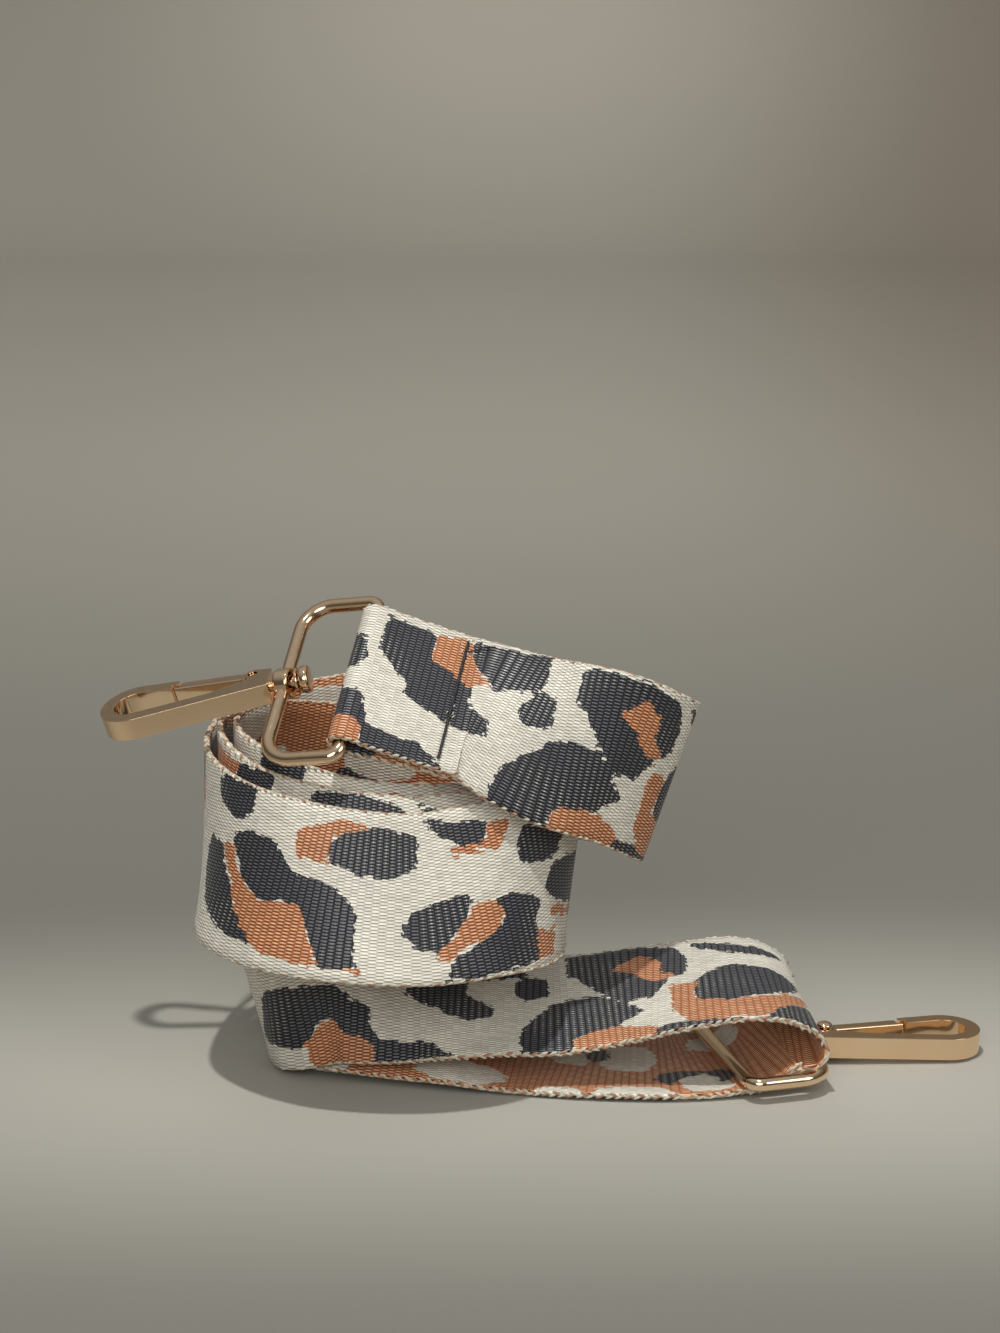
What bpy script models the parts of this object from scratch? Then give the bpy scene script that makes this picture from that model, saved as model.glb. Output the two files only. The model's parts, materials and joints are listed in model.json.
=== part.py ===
"""Detachable bag strap: woven webbing coiled on its edge, a sewn snap hook at the upper end, a second
snap hook carried in an adjustable loop at the lower end, and a three-bar slider that the webbing's own
end is sewn to.

Metres, +Z up. X runs to the right along the strap's long way, Y runs to the back. The model stands on
Z = 0 and its origin is under the middle of its box.
"""

import math

import bmesh
import bpy
from mathutils import Matrix, Vector

# Webbing
WEB_WIDTH = 0.038
WEB_THICKNESS = 0.0013
COIL_RADIUS = 0.042
SECTION_STEP = 0.0034

# Fits
CLEARANCE = 0.0003
WEB_SIDE_PLAY = 0.0014
CUT_OVERRUN = 0.002

# Rings
WIRE_RADIUS = 0.0016
RING_DEPTH = 0.018
RING_OUTER_CORNER = 0.0068
RING_BAR_CORNER = 0.0028
EYE_RADIUS = 0.0034
EYE_LENGTH = 0.0036
EYE_BORE_RADIUS = 0.002

# Hooks, with X from the ring's eye to the nose
HOOK_LENGTH = 0.0425
HOOK_THICKNESS = 0.005
HOOK_EDGE_ROUND = 0.0006
NECK_START = 0.003
NECK_HALF_WIDTH = 0.0037
NOSE_RADIUS = 0.0078
RIM_WIDTH = 0.0032
WEB_END = 0.017
SHANK_RADIUS = 0.0013
SHANK_REACH = 0.005
SEAT_WIDTH = 0.0024

# Gates
GATE_JOINT = 0.025
GATE_PIVOT = 0.0072
GATE_WIDTH = 0.003
GATE_THICKNESS = 0.0044
GATE_LIP = 0.0012
GATE_ROOT = 0.0024
EAR_RADIUS = 0.0019
KNUCKLE_RADIUS = 0.0016
TONGUE_THICKNESS = 0.001
SLOT_HEIGHT = 0.0028
PIN_RADIUS = 0.0008
PIN_HEAD_RADIUS = 0.0018
PIN_HEAD_HEIGHT = 0.0009
SPRING_WIRE_RADIUS = 0.00015
SPRING_RADIUS = 0.0013
SPRING_TURNS = 2

# Swivels
WASHER_RADIUS = 0.0029
WASHER_THICKNESS = 0.0006
WASHER_START = 0.0028
CAP_RADIUS = 0.0031
CAP_LENGTH = 0.0022
CAP_START = 0.0037
CAP_EDGE_ROUND = 0.0005

# Slider
SLIDER_BAR_RADIUS = 0.0015
SLIDER_BAR_SPACING = 0.0118

# Sewn ends
LAYER_GAP = 0.0004
FOLD_SEAM_DISTANCE = 0.021
SEAM_TAIL = 0.0028
SLIDER_TAIL = 0.02
SLIDER_SEAM_DISTANCE = 0.0165
SEAM_EDGE_MARGIN = 0.0022
STITCH_LENGTH = 0.0031
THREAD_WIDTH = 0.0006
THREAD_HEIGHT = 0.0003

# The coil's route, end A to the slider: X and Y as shares of COIL_RADIUS, Z as a share of WEB_WIDTH,
# and the webbing's lean in degrees, with its upper edge to the left of the run when positive
fold_place_shares = (-0.164, -0.190, 2.339)
upper_turn_shares = [
    (0.826, -0.314, 2.005, 32),
    (1.195, -0.214, 1.853, 6),
    (1.464, 0.071, 1.626, -16),
    (1.357, 0.429, 1.579, -16),
    (0.976, 0.786, 1.539, -10),
    (0.333, 1.060, 1.513, -4),
    (-0.333, 1.012, 1.487, 0),
]
outer_turn_shares = [
    (-0.857, 0.595, 1.447, 0),
    (-0.995, 0.048, 1.368, 2),
    (-0.857, -0.476, 1.316, 16),
    (-0.429, -0.786, 1.276, 27),
    (0.143, -0.833, 1.237, 31),
    (0.500, -0.702, 1.245, 27),
    (0.738, -0.500, 1.232, 16),
    (0.948, -0.095, 1.197, -6),
    (0.833, 0.476, 1.211, -8),
    (0.286, 0.881, 1.289, -4),
    (-0.333, 0.857, 1.355, 0),
]
middle_turn_shares = [
    (-0.798, 0.476, 1.439, 2),
    (-0.919, 0.024, 1.497, 1),
    (-0.786, -0.405, 1.387, 15),
    (-0.393, -0.702, 1.347, 27),
    (0.126, -0.738, 1.308, 30),
    (0.452, -0.619, 1.289, 26),
    (0.655, -0.440, 1.250, 16),
    (0.848, -0.095, 1.197, -6),
    (0.738, 0.429, 1.211, -8),
    (0.214, 0.786, 1.289, -3),
    (-0.310, 0.750, 1.382, 0),
]
inner_turn_shares = [
    (-0.714, 0.405, 1.503, 2),
    (-0.838, 0.000, 1.529, 2),
    (-0.710, -0.340, 1.458, 12),
    (-0.357, -0.614, 1.395, 27),
    (0.110, -0.650, 1.347, 29),
    (0.405, -0.536, 1.308, 25),
    (0.583, -0.357, 1.245, 14),
    (0.750, -0.071, 1.147, -5),
    (0.702, 0.214, 1.074, -5),
]
slider_place_shares = (0.060, 0.548, 0.803)
lower_turn_shares = [
    (-0.583, 0.376, 0.534, -5),
    (-0.786, 0.000, 0.476, -17),
    (-0.619, -0.345, 0.511, 2),
    (-0.286, -0.407, 0.595, 20),
    (0.143, -0.298, 0.489, 50),
    (0.524, -0.262, 0.389, 71),
    (0.881, -0.267, 0.368, 76),
    (1.286, -0.262, 0.434, 78),
    (1.571, -0.286, 0.500, 80),
]
# The loop round ring B: X from the bar as a share of the swivel cap's distance, Y and Z as above. Here
# the width direction is given in full
loop_shares = [
    (0.331, -0.286, 0.542, (-0.12, 0.97, 0.14)),
    (1.074, -0.262, 0.497, (-0.16, 0.965, 0.15)),
    (1.512, -0.250, 0.374, (-0.17, 0.96, 0.17)),
    (1.554, -0.245, 0.268, (-0.17, 0.965, 0.17)),
    (0.992, -0.245, 0.213, (-0.16, 0.97, 0.17)),
    (0.562, -0.281, 0.089, (-0.12, 0.985, 0.12)),
    (0.000, -0.310, 0.026, (-0.06, 0.995, 0)),
]
strip_shares = [
    (1.524, -0.348, 0.025, (0.02, 1, 0)),
    (1.143, -0.338, 0.025, (0.1, 0.99, 0)),
    (0.714, -0.274, 0.042, (0.1, 0.99, 0.05)),
]
strip_turn_shares = [
    (0.238, -0.229, 0.242, -66),
    (-0.190, -0.210, 0.405, -42),
    (-0.452, -0.176, 0.508, 0),
    (-0.652, 0.036, 0.526, 16),
    (-0.576, 0.262, 0.605, 8),
]

# Directions of the two ends
fold_width_direction = Vector((0.157, 0.799, 0.583))
fold_run_direction = Vector((0.93, -0.03, -0.27))
ring_a_direction = Vector((-0.925, 0.31, -0.18))
hook_a_direction = Vector((-0.945, 0.14, -0.235))
hook_a_side_direction = Vector((0.10, 0.97, 0.225))
ring_b_place_shares = (1.738, -0.314, 0.104)
slider_slope = math.radians(15)
ring_b_angle = math.radians(16)
hook_b_angle = math.radians(9)
ring_b_rise = 0.0
hook_b_rise = -0.03


def clear_scene():
    for item in list(bpy.data.objects):
        bpy.data.objects.remove(item)


def make_material(name, colour, roughness, metallic=0.0):
    material = bpy.data.materials.new(name)
    material.use_nodes = True
    shader = material.node_tree.nodes["Principled BSDF"]
    shader.inputs["Base Color"].default_value = (*colour, 1.0)
    shader.inputs["Roughness"].default_value = roughness
    shader.inputs["Metallic"].default_value = metallic
    material.diffuse_color = (*colour, 1.0)
    return material


def add_object(name, vertices, faces, material=None, place=None, smooth_angle=40):
    mesh = bpy.data.meshes.new(name)
    mesh.from_pydata([tuple(v) for v in vertices], [], faces)
    tidy = bmesh.new()
    tidy.from_mesh(mesh)
    bmesh.ops.recalc_face_normals(tidy, faces=tidy.faces)
    tidy.to_mesh(mesh)
    tidy.free()
    mesh.shade_smooth()
    mesh.set_sharp_from_angle(angle=math.radians(smooth_angle))
    item = bpy.data.objects.new(name, mesh)
    bpy.context.scene.collection.objects.link(item)
    if place is not None:
        item.matrix_world = place
    if material is not None:
        mesh.materials.append(material)
    return item


def frame(origin, x_axis, y_axis):
    """A placing matrix with its X along x_axis and its Y as near y_axis as a right angle allows."""
    x_axis = Vector(x_axis).normalized()
    z_axis = x_axis.cross(Vector(y_axis)).normalized()
    y_axis = z_axis.cross(x_axis)
    rows = Matrix((x_axis, y_axis, z_axis)).transposed()
    return Matrix.Translation(origin) @ rows.to_4x4()


def cut(item, cutter, operation="DIFFERENCE"):
    cutter.hide_render = True
    cutter.display_type = "WIRE"
    modifier = item.modifiers.new(operation.title(), "BOOLEAN")
    modifier.operation = operation
    modifier.solver = "EXACT"
    modifier.object = cutter


def round_edges(item, width, segments=2):
    modifier = item.modifiers.new("Round", "BEVEL")
    modifier.width = width
    modifier.segments = segments
    modifier.limit_method = "ANGLE"
    modifier.angle_limit = math.radians(50)


def turned(profile, sides):
    """A solid turned about X from (x, radius) points that start and end on the axis."""
    vertices, faces = [], []
    rings = []
    for x, radius in profile:
        if radius == 0:
            rings.append([len(vertices)])
            vertices.append(Vector((x, 0, 0)))
        else:
            rings.append(list(range(len(vertices), len(vertices) + sides)))
            for k in range(sides):
                turn = math.tau * k / sides
                vertices.append(Vector((x, radius * math.cos(turn), radius * math.sin(turn))))
    for one, two in zip(rings, rings[1:]):
        for k in range(sides):
            n = (k + 1) % sides
            if len(one) == 1:
                faces.append((one[0], two[k], two[n]))
            elif len(two) == 1:
                faces.append((one[k], two[0], one[n]))
            else:
                faces.append((one[k], two[k], two[n], one[n]))
    return vertices, faces


def rod(name, start, end, radius, place, sides=20, axis="X"):
    """A plain cutter or rod from start to end along the local X or Z."""
    vertices, faces = turned([(start, 0), (start, radius), (end, radius), (end, 0)], sides)
    if axis == "Z":
        vertices = [Vector((-v.z, v.y, v.x)) for v in vertices]
    return add_object(name, vertices, faces, place=place)


def swept(path, radius, sides, closed=False):
    """A round wire along a path of points, with flat caps where it is open."""
    count = len(path)
    vertices, faces = [], []
    normal = None
    for i, point in enumerate(path):
        before = path[i - 1] if i or closed else point
        after = path[(i + 1) % count] if i + 1 < count or closed else point
        tangent = (after - before).normalized()
        if normal is None:
            normal = tangent.orthogonal()
        normal = (normal - tangent * normal.dot(tangent)).normalized()
        side = tangent.cross(normal)
        for k in range(sides):
            turn = math.tau * k / sides
            vertices.append(point + normal * (radius * math.cos(turn)) + side * (radius * math.sin(turn)))
    for i in range(count if closed else count - 1):
        j = (i + 1) % count
        for k in range(sides):
            n = (k + 1) % sides
            faces.append((i * sides + k, i * sides + n, j * sides + n, j * sides + k))
    if not closed:
        faces.append(tuple(range(sides)))
        faces.append(tuple(range((count - 1) * sides, count * sides)))
    return vertices, faces


def prism(outline, low, high):
    """A plate of the outline from Z = low to Z = high."""
    count = len(outline)
    vertices = [Vector((x, y, low)) for x, y in outline] + [Vector((x, y, high)) for x, y in outline]
    faces = [tuple(range(count)), tuple(range(count, 2 * count))]
    for i in range(count):
        j = (i + 1) % count
        faces.append((i, j, count + j, count + i))
    return vertices, faces


def arc(centre, radius, start, end, steps):
    return [
        (centre[0] + radius * math.cos(start + (end - start) * i / steps),
         centre[1] + radius * math.sin(start + (end - start) * i / steps))
        for i in range(steps + 1)
    ]


def flat_directions(angle, rise):
    """The long and the side direction of a piece that lies on the floor, turned by the angle."""
    return (math.cos(angle), math.sin(angle), rise), (-math.sin(angle), math.cos(angle), 0)


def coil_point(shares):
    return Vector((shares[0] * COIL_RADIUS, shares[1] * COIL_RADIUS, shares[2] * WEB_WIDTH))


def fold_frame():
    """Ring A's bar: X runs along the webbing away from the ring, Y along the bar, Z out of the coil."""
    return frame(coil_point(fold_place_shares), fold_run_direction, fold_width_direction)


def slider_frame():
    """The slider's middle bar: X runs along the webbing to end A, Y down the bar, Z out of the coil."""
    run = Vector((math.cos(slider_slope), 0, math.sin(slider_slope)))
    return frame(coil_point(slider_place_shares), run, Vector((0, 1, 0)).cross(run))


def bar_loop_radius(bar_radius):
    """The middle of a webbing layer that wraps a bar."""
    return bar_radius + CLEARANCE + WEB_THICKNESS / 2


def fold_route():
    """From the cut tail under end A, round ring A's bar, to the end of the sewn stretch."""
    radius = bar_loop_radius(WIRE_RADIUS)
    seam = FOLD_SEAM_DISTANCE
    layer = WEB_THICKNESS + LAYER_GAP
    points = [(seam + SEAM_TAIL, -layer / 2), (seam, -layer / 2), (seam * 2 / 3, -layer / 2 - LAYER_GAP),
              (seam / 3, -layer)]
    points += [(-radius * math.sin(math.pi * i / 6), -radius * math.cos(math.pi * i / 6)) for i in range(7)]
    points += [(seam / 3, layer), (seam * 2 / 3, layer / 2 + LAYER_GAP), (seam, layer / 2),
               (seam + SEAM_TAIL, layer / 2), (seam + 2 * SEAM_TAIL, layer / 2 + LAYER_GAP)]
    place = fold_frame()
    width = place.to_3x3() @ Vector((0, 1, 0))
    return [(place @ Vector((x, 0, z)), width) for x, z in points]


def slider_levels():
    """Where the sewn layers and the running layer pass the slider's bars, out of the coil positive."""
    sewn = bar_loop_radius(SLIDER_BAR_RADIUS) + CLEARANCE / 2
    pitch = WEB_THICKNESS + 2 * LAYER_GAP + CLEARANCE
    under_outer = -sewn - CLEARANCE / 2
    return sewn, pitch, under_outer


def slider_run_route():
    """The running layer: under the first outer bar, over the middle bar, under the second."""
    sewn, pitch, under_outer = slider_levels()
    spacing = SLIDER_BAR_SPACING
    over_middle = sewn + pitch
    leaving_share = 0.9
    points = [(spacing * 3 / 2, under_outer * leaving_share), (spacing, under_outer),
              (spacing / 2, (under_outer + over_middle) / 2), (spacing / 5, over_middle - LAYER_GAP),
              (-spacing / 5, over_middle - LAYER_GAP), (-spacing / 2, (under_outer + over_middle) / 2),
              (-spacing, under_outer), (-spacing * 3 / 2, under_outer * leaving_share)]
    place = slider_frame()
    width = place.to_3x3() @ Vector((0, -1, 0))
    return [(place @ Vector((x, 0, z)), width) for x, z in points]


def slider_end_route():
    """The sewn end: back under the running layer, round the middle bar, and its tail beside itself."""
    sewn, pitch, under_outer = slider_levels()
    spacing = SLIDER_BAR_SPACING
    tail = under_outer - pitch
    strip = tail - pitch
    points = [(-SLIDER_TAIL, strip), (-SLIDER_SEAM_DISTANCE, strip), (-spacing, strip),
              (-spacing / 2, (strip - sewn) / 2)]
    points += [(sewn * math.sin(math.pi * i / 6), -sewn * math.cos(math.pi * i / 6)) for i in range(7)]
    points += [(-spacing / 2, (tail + sewn) / 2), (-spacing, tail), (-SLIDER_SEAM_DISTANCE, tail),
               (-SLIDER_TAIL, tail)]
    place = slider_frame()
    width = place.to_3x3() @ Vector((0, -1, 0))
    return [(place @ Vector((x, 0, z)), width) for x, z in points]


def leaned(rows):
    return [(coil_point(row), row[3]) for row in rows]


def given(rows):
    return [(coil_point(row), Vector(row[3]).normalized()) for row in rows]


def round_ring_b(rows):
    """The curl passes over the swivel's cap, so its stations keep their place beside ring B."""
    bar = coil_point(ring_b_place_shares)
    cap_reach = RING_DEPTH - CAP_START - CAP_LENGTH
    stations = []
    for x, y, z, across in rows:
        place = Vector((bar.x + x * cap_reach, y * COIL_RADIUS, z * WEB_WIDTH))
        stations.append((place, Vector(across).normalized()))
    return stations


def webbing_stations():
    """Every station of the route as a point and the direction across the webbing, bottom edge to top."""
    stations = fold_route()
    stations += leaned(upper_turn_shares + outer_turn_shares + middle_turn_shares + inner_turn_shares)
    stations += slider_run_route()
    stations += leaned(lower_turn_shares)
    stations += round_ring_b(loop_shares)
    stations += given(strip_shares)
    stations += leaned(strip_turn_shares)
    stations += slider_end_route()
    solved = []
    for i, (point, across) in enumerate(stations):
        if not isinstance(across, Vector):
            before, after = stations[max(i - 1, 0)][0], stations[min(i + 1, len(stations) - 1)][0]
            run = (after - before).normalized()
            inward = Vector((0, 0, 1)).cross(run).normalized()
            upright = run.cross(inward)
            lean = math.radians(across)
            across = upright * math.cos(lean) + inward * math.sin(lean)
        solved.append((point, across))
    return solved


def smooth_route(stations, step):
    """Points, width directions and run lengths along one smooth curve through the stations."""
    knots = [0.0]
    for (one, _), (two, _) in zip(stations, stations[1:]):
        knots.append(knots[-1] + math.sqrt((two - one).length))
    rows = [(point, across) for point, across in stations]
    slopes = []
    last = len(rows) - 1
    for i in range(last + 1):
        pair = []
        for part in (0, 1):
            if i in (0, last):
                j = min(i, last - 1)
                pair.append((rows[j + 1][part] - rows[j][part]) / (knots[j + 1] - knots[j]))
            else:
                back, ahead = knots[i] - knots[i - 1], knots[i + 1] - knots[i]
                pair.append(((rows[i][part] - rows[i - 1][part]) * (ahead / back)
                             + (rows[i + 1][part] - rows[i][part]) * (back / ahead)) / (back + ahead))
        slopes.append(pair)
    route = []
    for i in range(last):
        span = knots[i + 1] - knots[i]
        pieces = max(1, round((rows[i + 1][0] - rows[i][0]).length / step))
        for k in range(pieces + (i == last - 1)):
            u = k / pieces
            blend = (2 * u**3 - 3 * u**2 + 1, (u**3 - 2 * u**2 + u) * span,
                     -2 * u**3 + 3 * u**2, (u**3 - u**2) * span)
            route.append([
                rows[i][part] * blend[0] + slopes[i][part] * blend[1]
                + rows[i + 1][part] * blend[2] + slopes[i + 1][part] * blend[3]
                for part in (0, 1)
            ])
    for i, (point, across) in enumerate(route):
        run = (route[min(i + 1, len(route) - 1)][0] - route[max(i - 1, 0)][0]).normalized()
        route[i][1] = (across - run * across.dot(run)).normalized()
        route[i].append(run.cross(route[i][1]).normalized())
    return route


def make_webbing(material):
    route = smooth_route(webbing_stations(), SECTION_STEP)
    vertices, faces = [], []
    for point, across, outward in route:
        for side, layer in ((-1, -1), (1, -1), (1, 1), (-1, 1)):
            vertices.append(point + across * (side * WEB_WIDTH / 2) + outward * (layer * WEB_THICKNESS / 2))
    for i in range(len(route) - 1):
        for k in range(4):
            n = (k + 1) % 4
            faces.append((4 * i + k, 4 * i + n, 4 * i + 4 + n, 4 * i + 4 + k))
    faces.append((0, 1, 2, 3))
    faces.append(tuple(range(4 * len(route) - 4, 4 * len(route))))
    add_object("webbing", vertices, faces, material, smooth_angle=70)
    length = sum((b[0] - a[0]).length for a, b in zip(route, route[1:]))
    print("webbing length", round(length, 4), "sections", len(route))


def make_thread(name, place, distance, level, material):
    """One thread of a seam: a low cord that dips into the webbing at each stitch hole."""
    reach = WEB_WIDTH / 2 - SEAM_EDGE_MARGIN
    stitches = max(4, round(2 * reach / STITCH_LENGTH))
    stitch_shares = ((0.04, 0.45, 0.6), (0.25, 1.0, 1.0), (0.75, 1.0, 1.0), (0.96, 0.45, 0.6))
    profile_shares = ((-0.5, 0), (0.5, 0), (0.25, 1), (-0.25, 1))
    vertices, faces = [], []
    rows = []
    for stitch in range(stitches):
        for along, rise, wide in stitch_shares:
            rows.append((-reach + 2 * reach * (stitch + along) / stitches, rise, wide))
    for across, rise, wide in rows:
        for side, height in profile_shares:
            vertices.append(Vector((distance + side * wide * THREAD_WIDTH, across,
                                    level + math.copysign(1, level) * height * rise * THREAD_HEIGHT)))
    for i in range(len(rows) - 1):
        for k in range(4):
            n = (k + 1) % 4
            faces.append((4 * i + k, 4 * i + n, 4 * i + 4 + n, 4 * i + 4 + k))
    faces.append((0, 1, 2, 3))
    faces.append(tuple(range(4 * len(rows) - 4, 4 * len(rows))))
    add_object(name, vertices, faces, material, place)


def ring_path():
    """The ring's wire in its own plane: X from the bar to the eye, Y along the bar."""
    half = WEB_WIDTH / 2 + WEB_SIDE_PLAY + WIRE_RADIUS
    bar, far = RING_BAR_CORNER, RING_OUTER_CORNER
    points = arc((bar, half - bar), bar, math.pi, math.pi / 2, 4)
    points += arc((RING_DEPTH - far, half - far), far, math.pi / 2, 0, 6)
    points += arc((RING_DEPTH - far, far - half), far, 0, -math.pi / 2, 6)
    points += arc((bar, bar - half), bar, -math.pi / 2, -math.pi, 4)
    return [Vector((x, y, 0)) for x, y in points]


def make_ring(name, place, material):
    vertices, faces = swept(ring_path(), WIRE_RADIUS, 12, closed=True)
    ring = add_object(name, vertices, faces, material, place)
    eye = place @ Matrix.Translation((RING_DEPTH, 0, 0))
    half = EYE_LENGTH / 2
    edge = CAP_EDGE_ROUND
    profile = [(-half, 0), (-half, EYE_RADIUS - edge), (edge - half, EYE_RADIUS), (half - edge, EYE_RADIUS),
               (half, EYE_RADIUS - edge), (half, 0)]
    body = add_object(name + "_eye_shape", *turned(profile, 24), place=eye)
    cut(ring, body, "UNION")
    cut(ring, rod(name + "_bore_shape", -half - CUT_OVERRUN, half + CUT_OVERRUN, EYE_BORE_RADIUS, eye))
    return eye


def hook_taper():
    """The angle between the hook's axis and its straight outer edges."""
    run, rise = HOOK_LENGTH - NOSE_RADIUS - NECK_START, NECK_HALF_WIDTH
    return math.asin(NOSE_RADIUS / math.hypot(run, rise)) - math.atan2(rise, run)


def hook_edge(x):
    """Half the hook's outer width at x, on its straight part."""
    return NECK_HALF_WIDTH + (x - NECK_START) * math.tan(hook_taper())


def pivot_place():
    return Vector((GATE_PIVOT, hook_edge(GATE_PIVOT) - RIM_WIDTH / 2, 0))


def hook_outline():
    taper = hook_taper()
    nose = (HOOK_LENGTH - NOSE_RADIUS, 0)
    quarter = math.pi / 2 + taper
    inner = NOSE_RADIUS - RIM_WIDTH
    rim = RIM_WIDTH / math.cos(taper)
    seat = math.asin(SEAT_WIDTH / 2 / inner)
    lip = GATE_JOINT + GATE_LIP + CLEARANCE
    pivot = pivot_place()
    outline = [(NECK_START, -NECK_HALF_WIDTH)]
    outline += arc(nose, NOSE_RADIUS, -quarter, quarter, 22)
    outline += [(GATE_JOINT, hook_edge(GATE_JOINT)), (GATE_JOINT, hook_edge(GATE_JOINT) - rim / 2),
                (lip, hook_edge(lip) - rim / 2), (lip, hook_edge(lip) - rim)]
    outline += arc(nose, inner, quarter, seat, 8)
    outline += arc(nose, inner, -seat, -quarter, 8)
    outline += [(WEB_END, rim - hook_edge(WEB_END))]
    outline += arc((pivot.x, pivot.y), EAR_RADIUS, -math.radians(72), quarter, 10)
    outline += [(NECK_START, NECK_HALF_WIDTH)]
    return outline


def make_hook_body(name, place, material):
    half = HOOK_THICKNESS / 2
    body = add_object(name, *prism(hook_outline(), -half, half), material, place, smooth_angle=30)
    round_edges(body, HOOK_EDGE_ROUND)
    shank = rod(name + "_shank_shape", -SHANK_REACH, NECK_START + CUT_OVERRUN / 2, SHANK_RADIUS, place)
    cut(body, shank, "UNION")
    pivot = place @ Matrix.Translation(pivot_place())
    high = SLOT_HEIGHT / 2
    cut(body, rod(name + "_slot_shape", -high, high, EAR_RADIUS + CLEARANCE, pivot, 28, "Z"))
    hole = PIN_RADIUS + CLEARANCE
    cut(body, rod(name + "_pin_hole_shape", -half - CUT_OVERRUN, half + CUT_OVERRUN, hole, pivot, 16, "Z"))


def make_gate(name, place, material):
    """The gate with its pivot at the origin and X along its length, closed."""
    reach = (GATE_JOINT - GATE_PIVOT) / math.cos(hook_taper()) - CLEARANCE
    half = GATE_WIDTH / 2
    outline = [(0, -half), (reach + GATE_LIP, -half), (reach + GATE_LIP, -CLEARANCE), (reach, -CLEARANCE),
               (reach, half), (0, half)]
    outline += arc((0, 0), KNUCKLE_RADIUS, math.pi / 2, math.pi * 3 / 2, 8)[1:-1]
    gate = add_object(name, *prism(outline, -GATE_THICKNESS / 2, GATE_THICKNESS / 2), material, place, 30)
    round_edges(gate, HOOK_EDGE_ROUND / 2, 1)
    tongue = GATE_THICKNESS / 2
    top = CLEARANCE + TONGUE_THICKNESS - SLOT_HEIGHT / 2
    low = CLEARANCE - SLOT_HEIGHT / 2
    for side, near, far in (("top", top, tongue + CUT_OVERRUN), ("bottom", -tongue - CUT_OVERRUN, low)):
        shape = [(-KNUCKLE_RADIUS - CUT_OVERRUN, -GATE_WIDTH), (GATE_ROOT, -GATE_WIDTH),
                 (GATE_ROOT, GATE_WIDTH), (-KNUCKLE_RADIUS - CUT_OVERRUN, GATE_WIDTH)]
        cut(gate, add_object(f"{name}_{side}_shape", *prism(shape, near, far), place=place))
    cut(gate, rod(name + "_hole_shape", -tongue - CUT_OVERRUN, tongue + CUT_OVERRUN,
                  PIN_RADIUS + CLEARANCE, place, 16, "Z"))


def make_pin(name, place, material):
    low = CLEARANCE - HOOK_THICKNESS / 2
    seat = HOOK_THICKNESS / 2 + CLEARANCE
    dome = [(seat + PIN_HEAD_HEIGHT * math.sin(math.pi / 2 * i / 4),
             PIN_HEAD_RADIUS * math.cos(math.pi / 2 * i / 4)) for i in range(4)]
    profile = [(low, 0), (low, PIN_RADIUS), (seat, PIN_RADIUS)] + dome + [(seat + PIN_HEAD_HEIGHT, 0)]
    vertices, faces = turned(profile, 16)
    add_object(name, [Vector((-v.z, v.y, v.x)) for v in vertices], faces, material, place)


def make_gate_spring(name, place, material):
    """A torsion coil round the pin above the gate's tongue, with its two short legs."""
    start = 2 * CLEARANCE + TONGUE_THICKNESS - SLOT_HEIGHT / 2 + SPRING_WIRE_RADIUS
    end = SLOT_HEIGHT / 2 - CLEARANCE - SPRING_WIRE_RADIUS
    steps = 12 * SPRING_TURNS
    path = []
    for i in range(steps + 1):
        turn = math.radians(150) + math.tau * SPRING_TURNS * i / steps
        path.append(Vector((SPRING_RADIUS * math.cos(turn), SPRING_RADIUS * math.sin(turn),
                            start + (end - start) * i / steps)))
    add_object(name, *swept(path, SPRING_WIRE_RADIUS, 6), material, place)


def make_swivel(prefix, place, material):
    """The cap riveted on the shank's end and the loose washer between it and the ring's eye."""
    edge = CAP_EDGE_ROUND
    bore = SHANK_RADIUS + CLEARANCE
    back = CAP_START + CAP_LENGTH
    pocket = SHANK_REACH + CLEARANCE
    profile = [(-back, 0), (-back, CAP_RADIUS - edge), (edge - back, CAP_RADIUS),
               (-CAP_START - edge, CAP_RADIUS), (-CAP_START, CAP_RADIUS - edge), (-CAP_START, bore),
               (-pocket, bore), (-pocket, 0)]
    add_object(prefix + "_swivel_cap", *turned(profile, 24), material, place)
    start, end = -WASHER_START - WASHER_THICKNESS, -WASHER_START
    washer = rod(prefix + "_swivel_washer", start, end, WASHER_RADIUS, place, 24)
    washer.data.materials.append(material)
    cut(washer, rod(prefix + "_washer_hole_shape", start - CUT_OVERRUN, end + CUT_OVERRUN, bore, place, 16))


def make_hook(prefix, place, gold, steel):
    make_hook_body(prefix + "_body", place, gold)
    gate_place = place @ Matrix.Translation(pivot_place()) @ Matrix.Rotation(hook_taper(), 4, "Z")
    make_gate(prefix + "_gate", gate_place, gold)
    make_pin(prefix + "_gate_pin", gate_place, steel)
    make_gate_spring(prefix + "_gate_spring", gate_place, steel)
    make_swivel(prefix, place, gold)
    return gate_place


def make_slider(material):
    place = slider_frame()
    half = WEB_WIDTH / 2 + WEB_SIDE_PLAY + SLIDER_BAR_RADIUS
    corner = SLIDER_BAR_RADIUS * 2
    reach = SLIDER_BAR_SPACING
    points = arc((reach - corner, half - corner), corner, math.pi / 2, 0, 4)
    points += arc((reach - corner, corner - half), corner, 0, -math.pi / 2, 4)
    points += arc((corner - reach, corner - half), corner, -math.pi / 2, -math.pi, 4)
    points += arc((corner - reach, half - corner), corner, math.pi, math.pi / 2, 4)
    path = [Vector((x, y, 0)) for x, y in points]
    slider = add_object("slider", *swept(path, SLIDER_BAR_RADIUS, 12, closed=True), material, place)
    bar = [Vector((0, -half, 0)), Vector((0, half, 0))]
    cut(slider, add_object("slider_bar_shape", *swept(bar, SLIDER_BAR_RADIUS, 12), place=place), "UNION")


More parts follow.
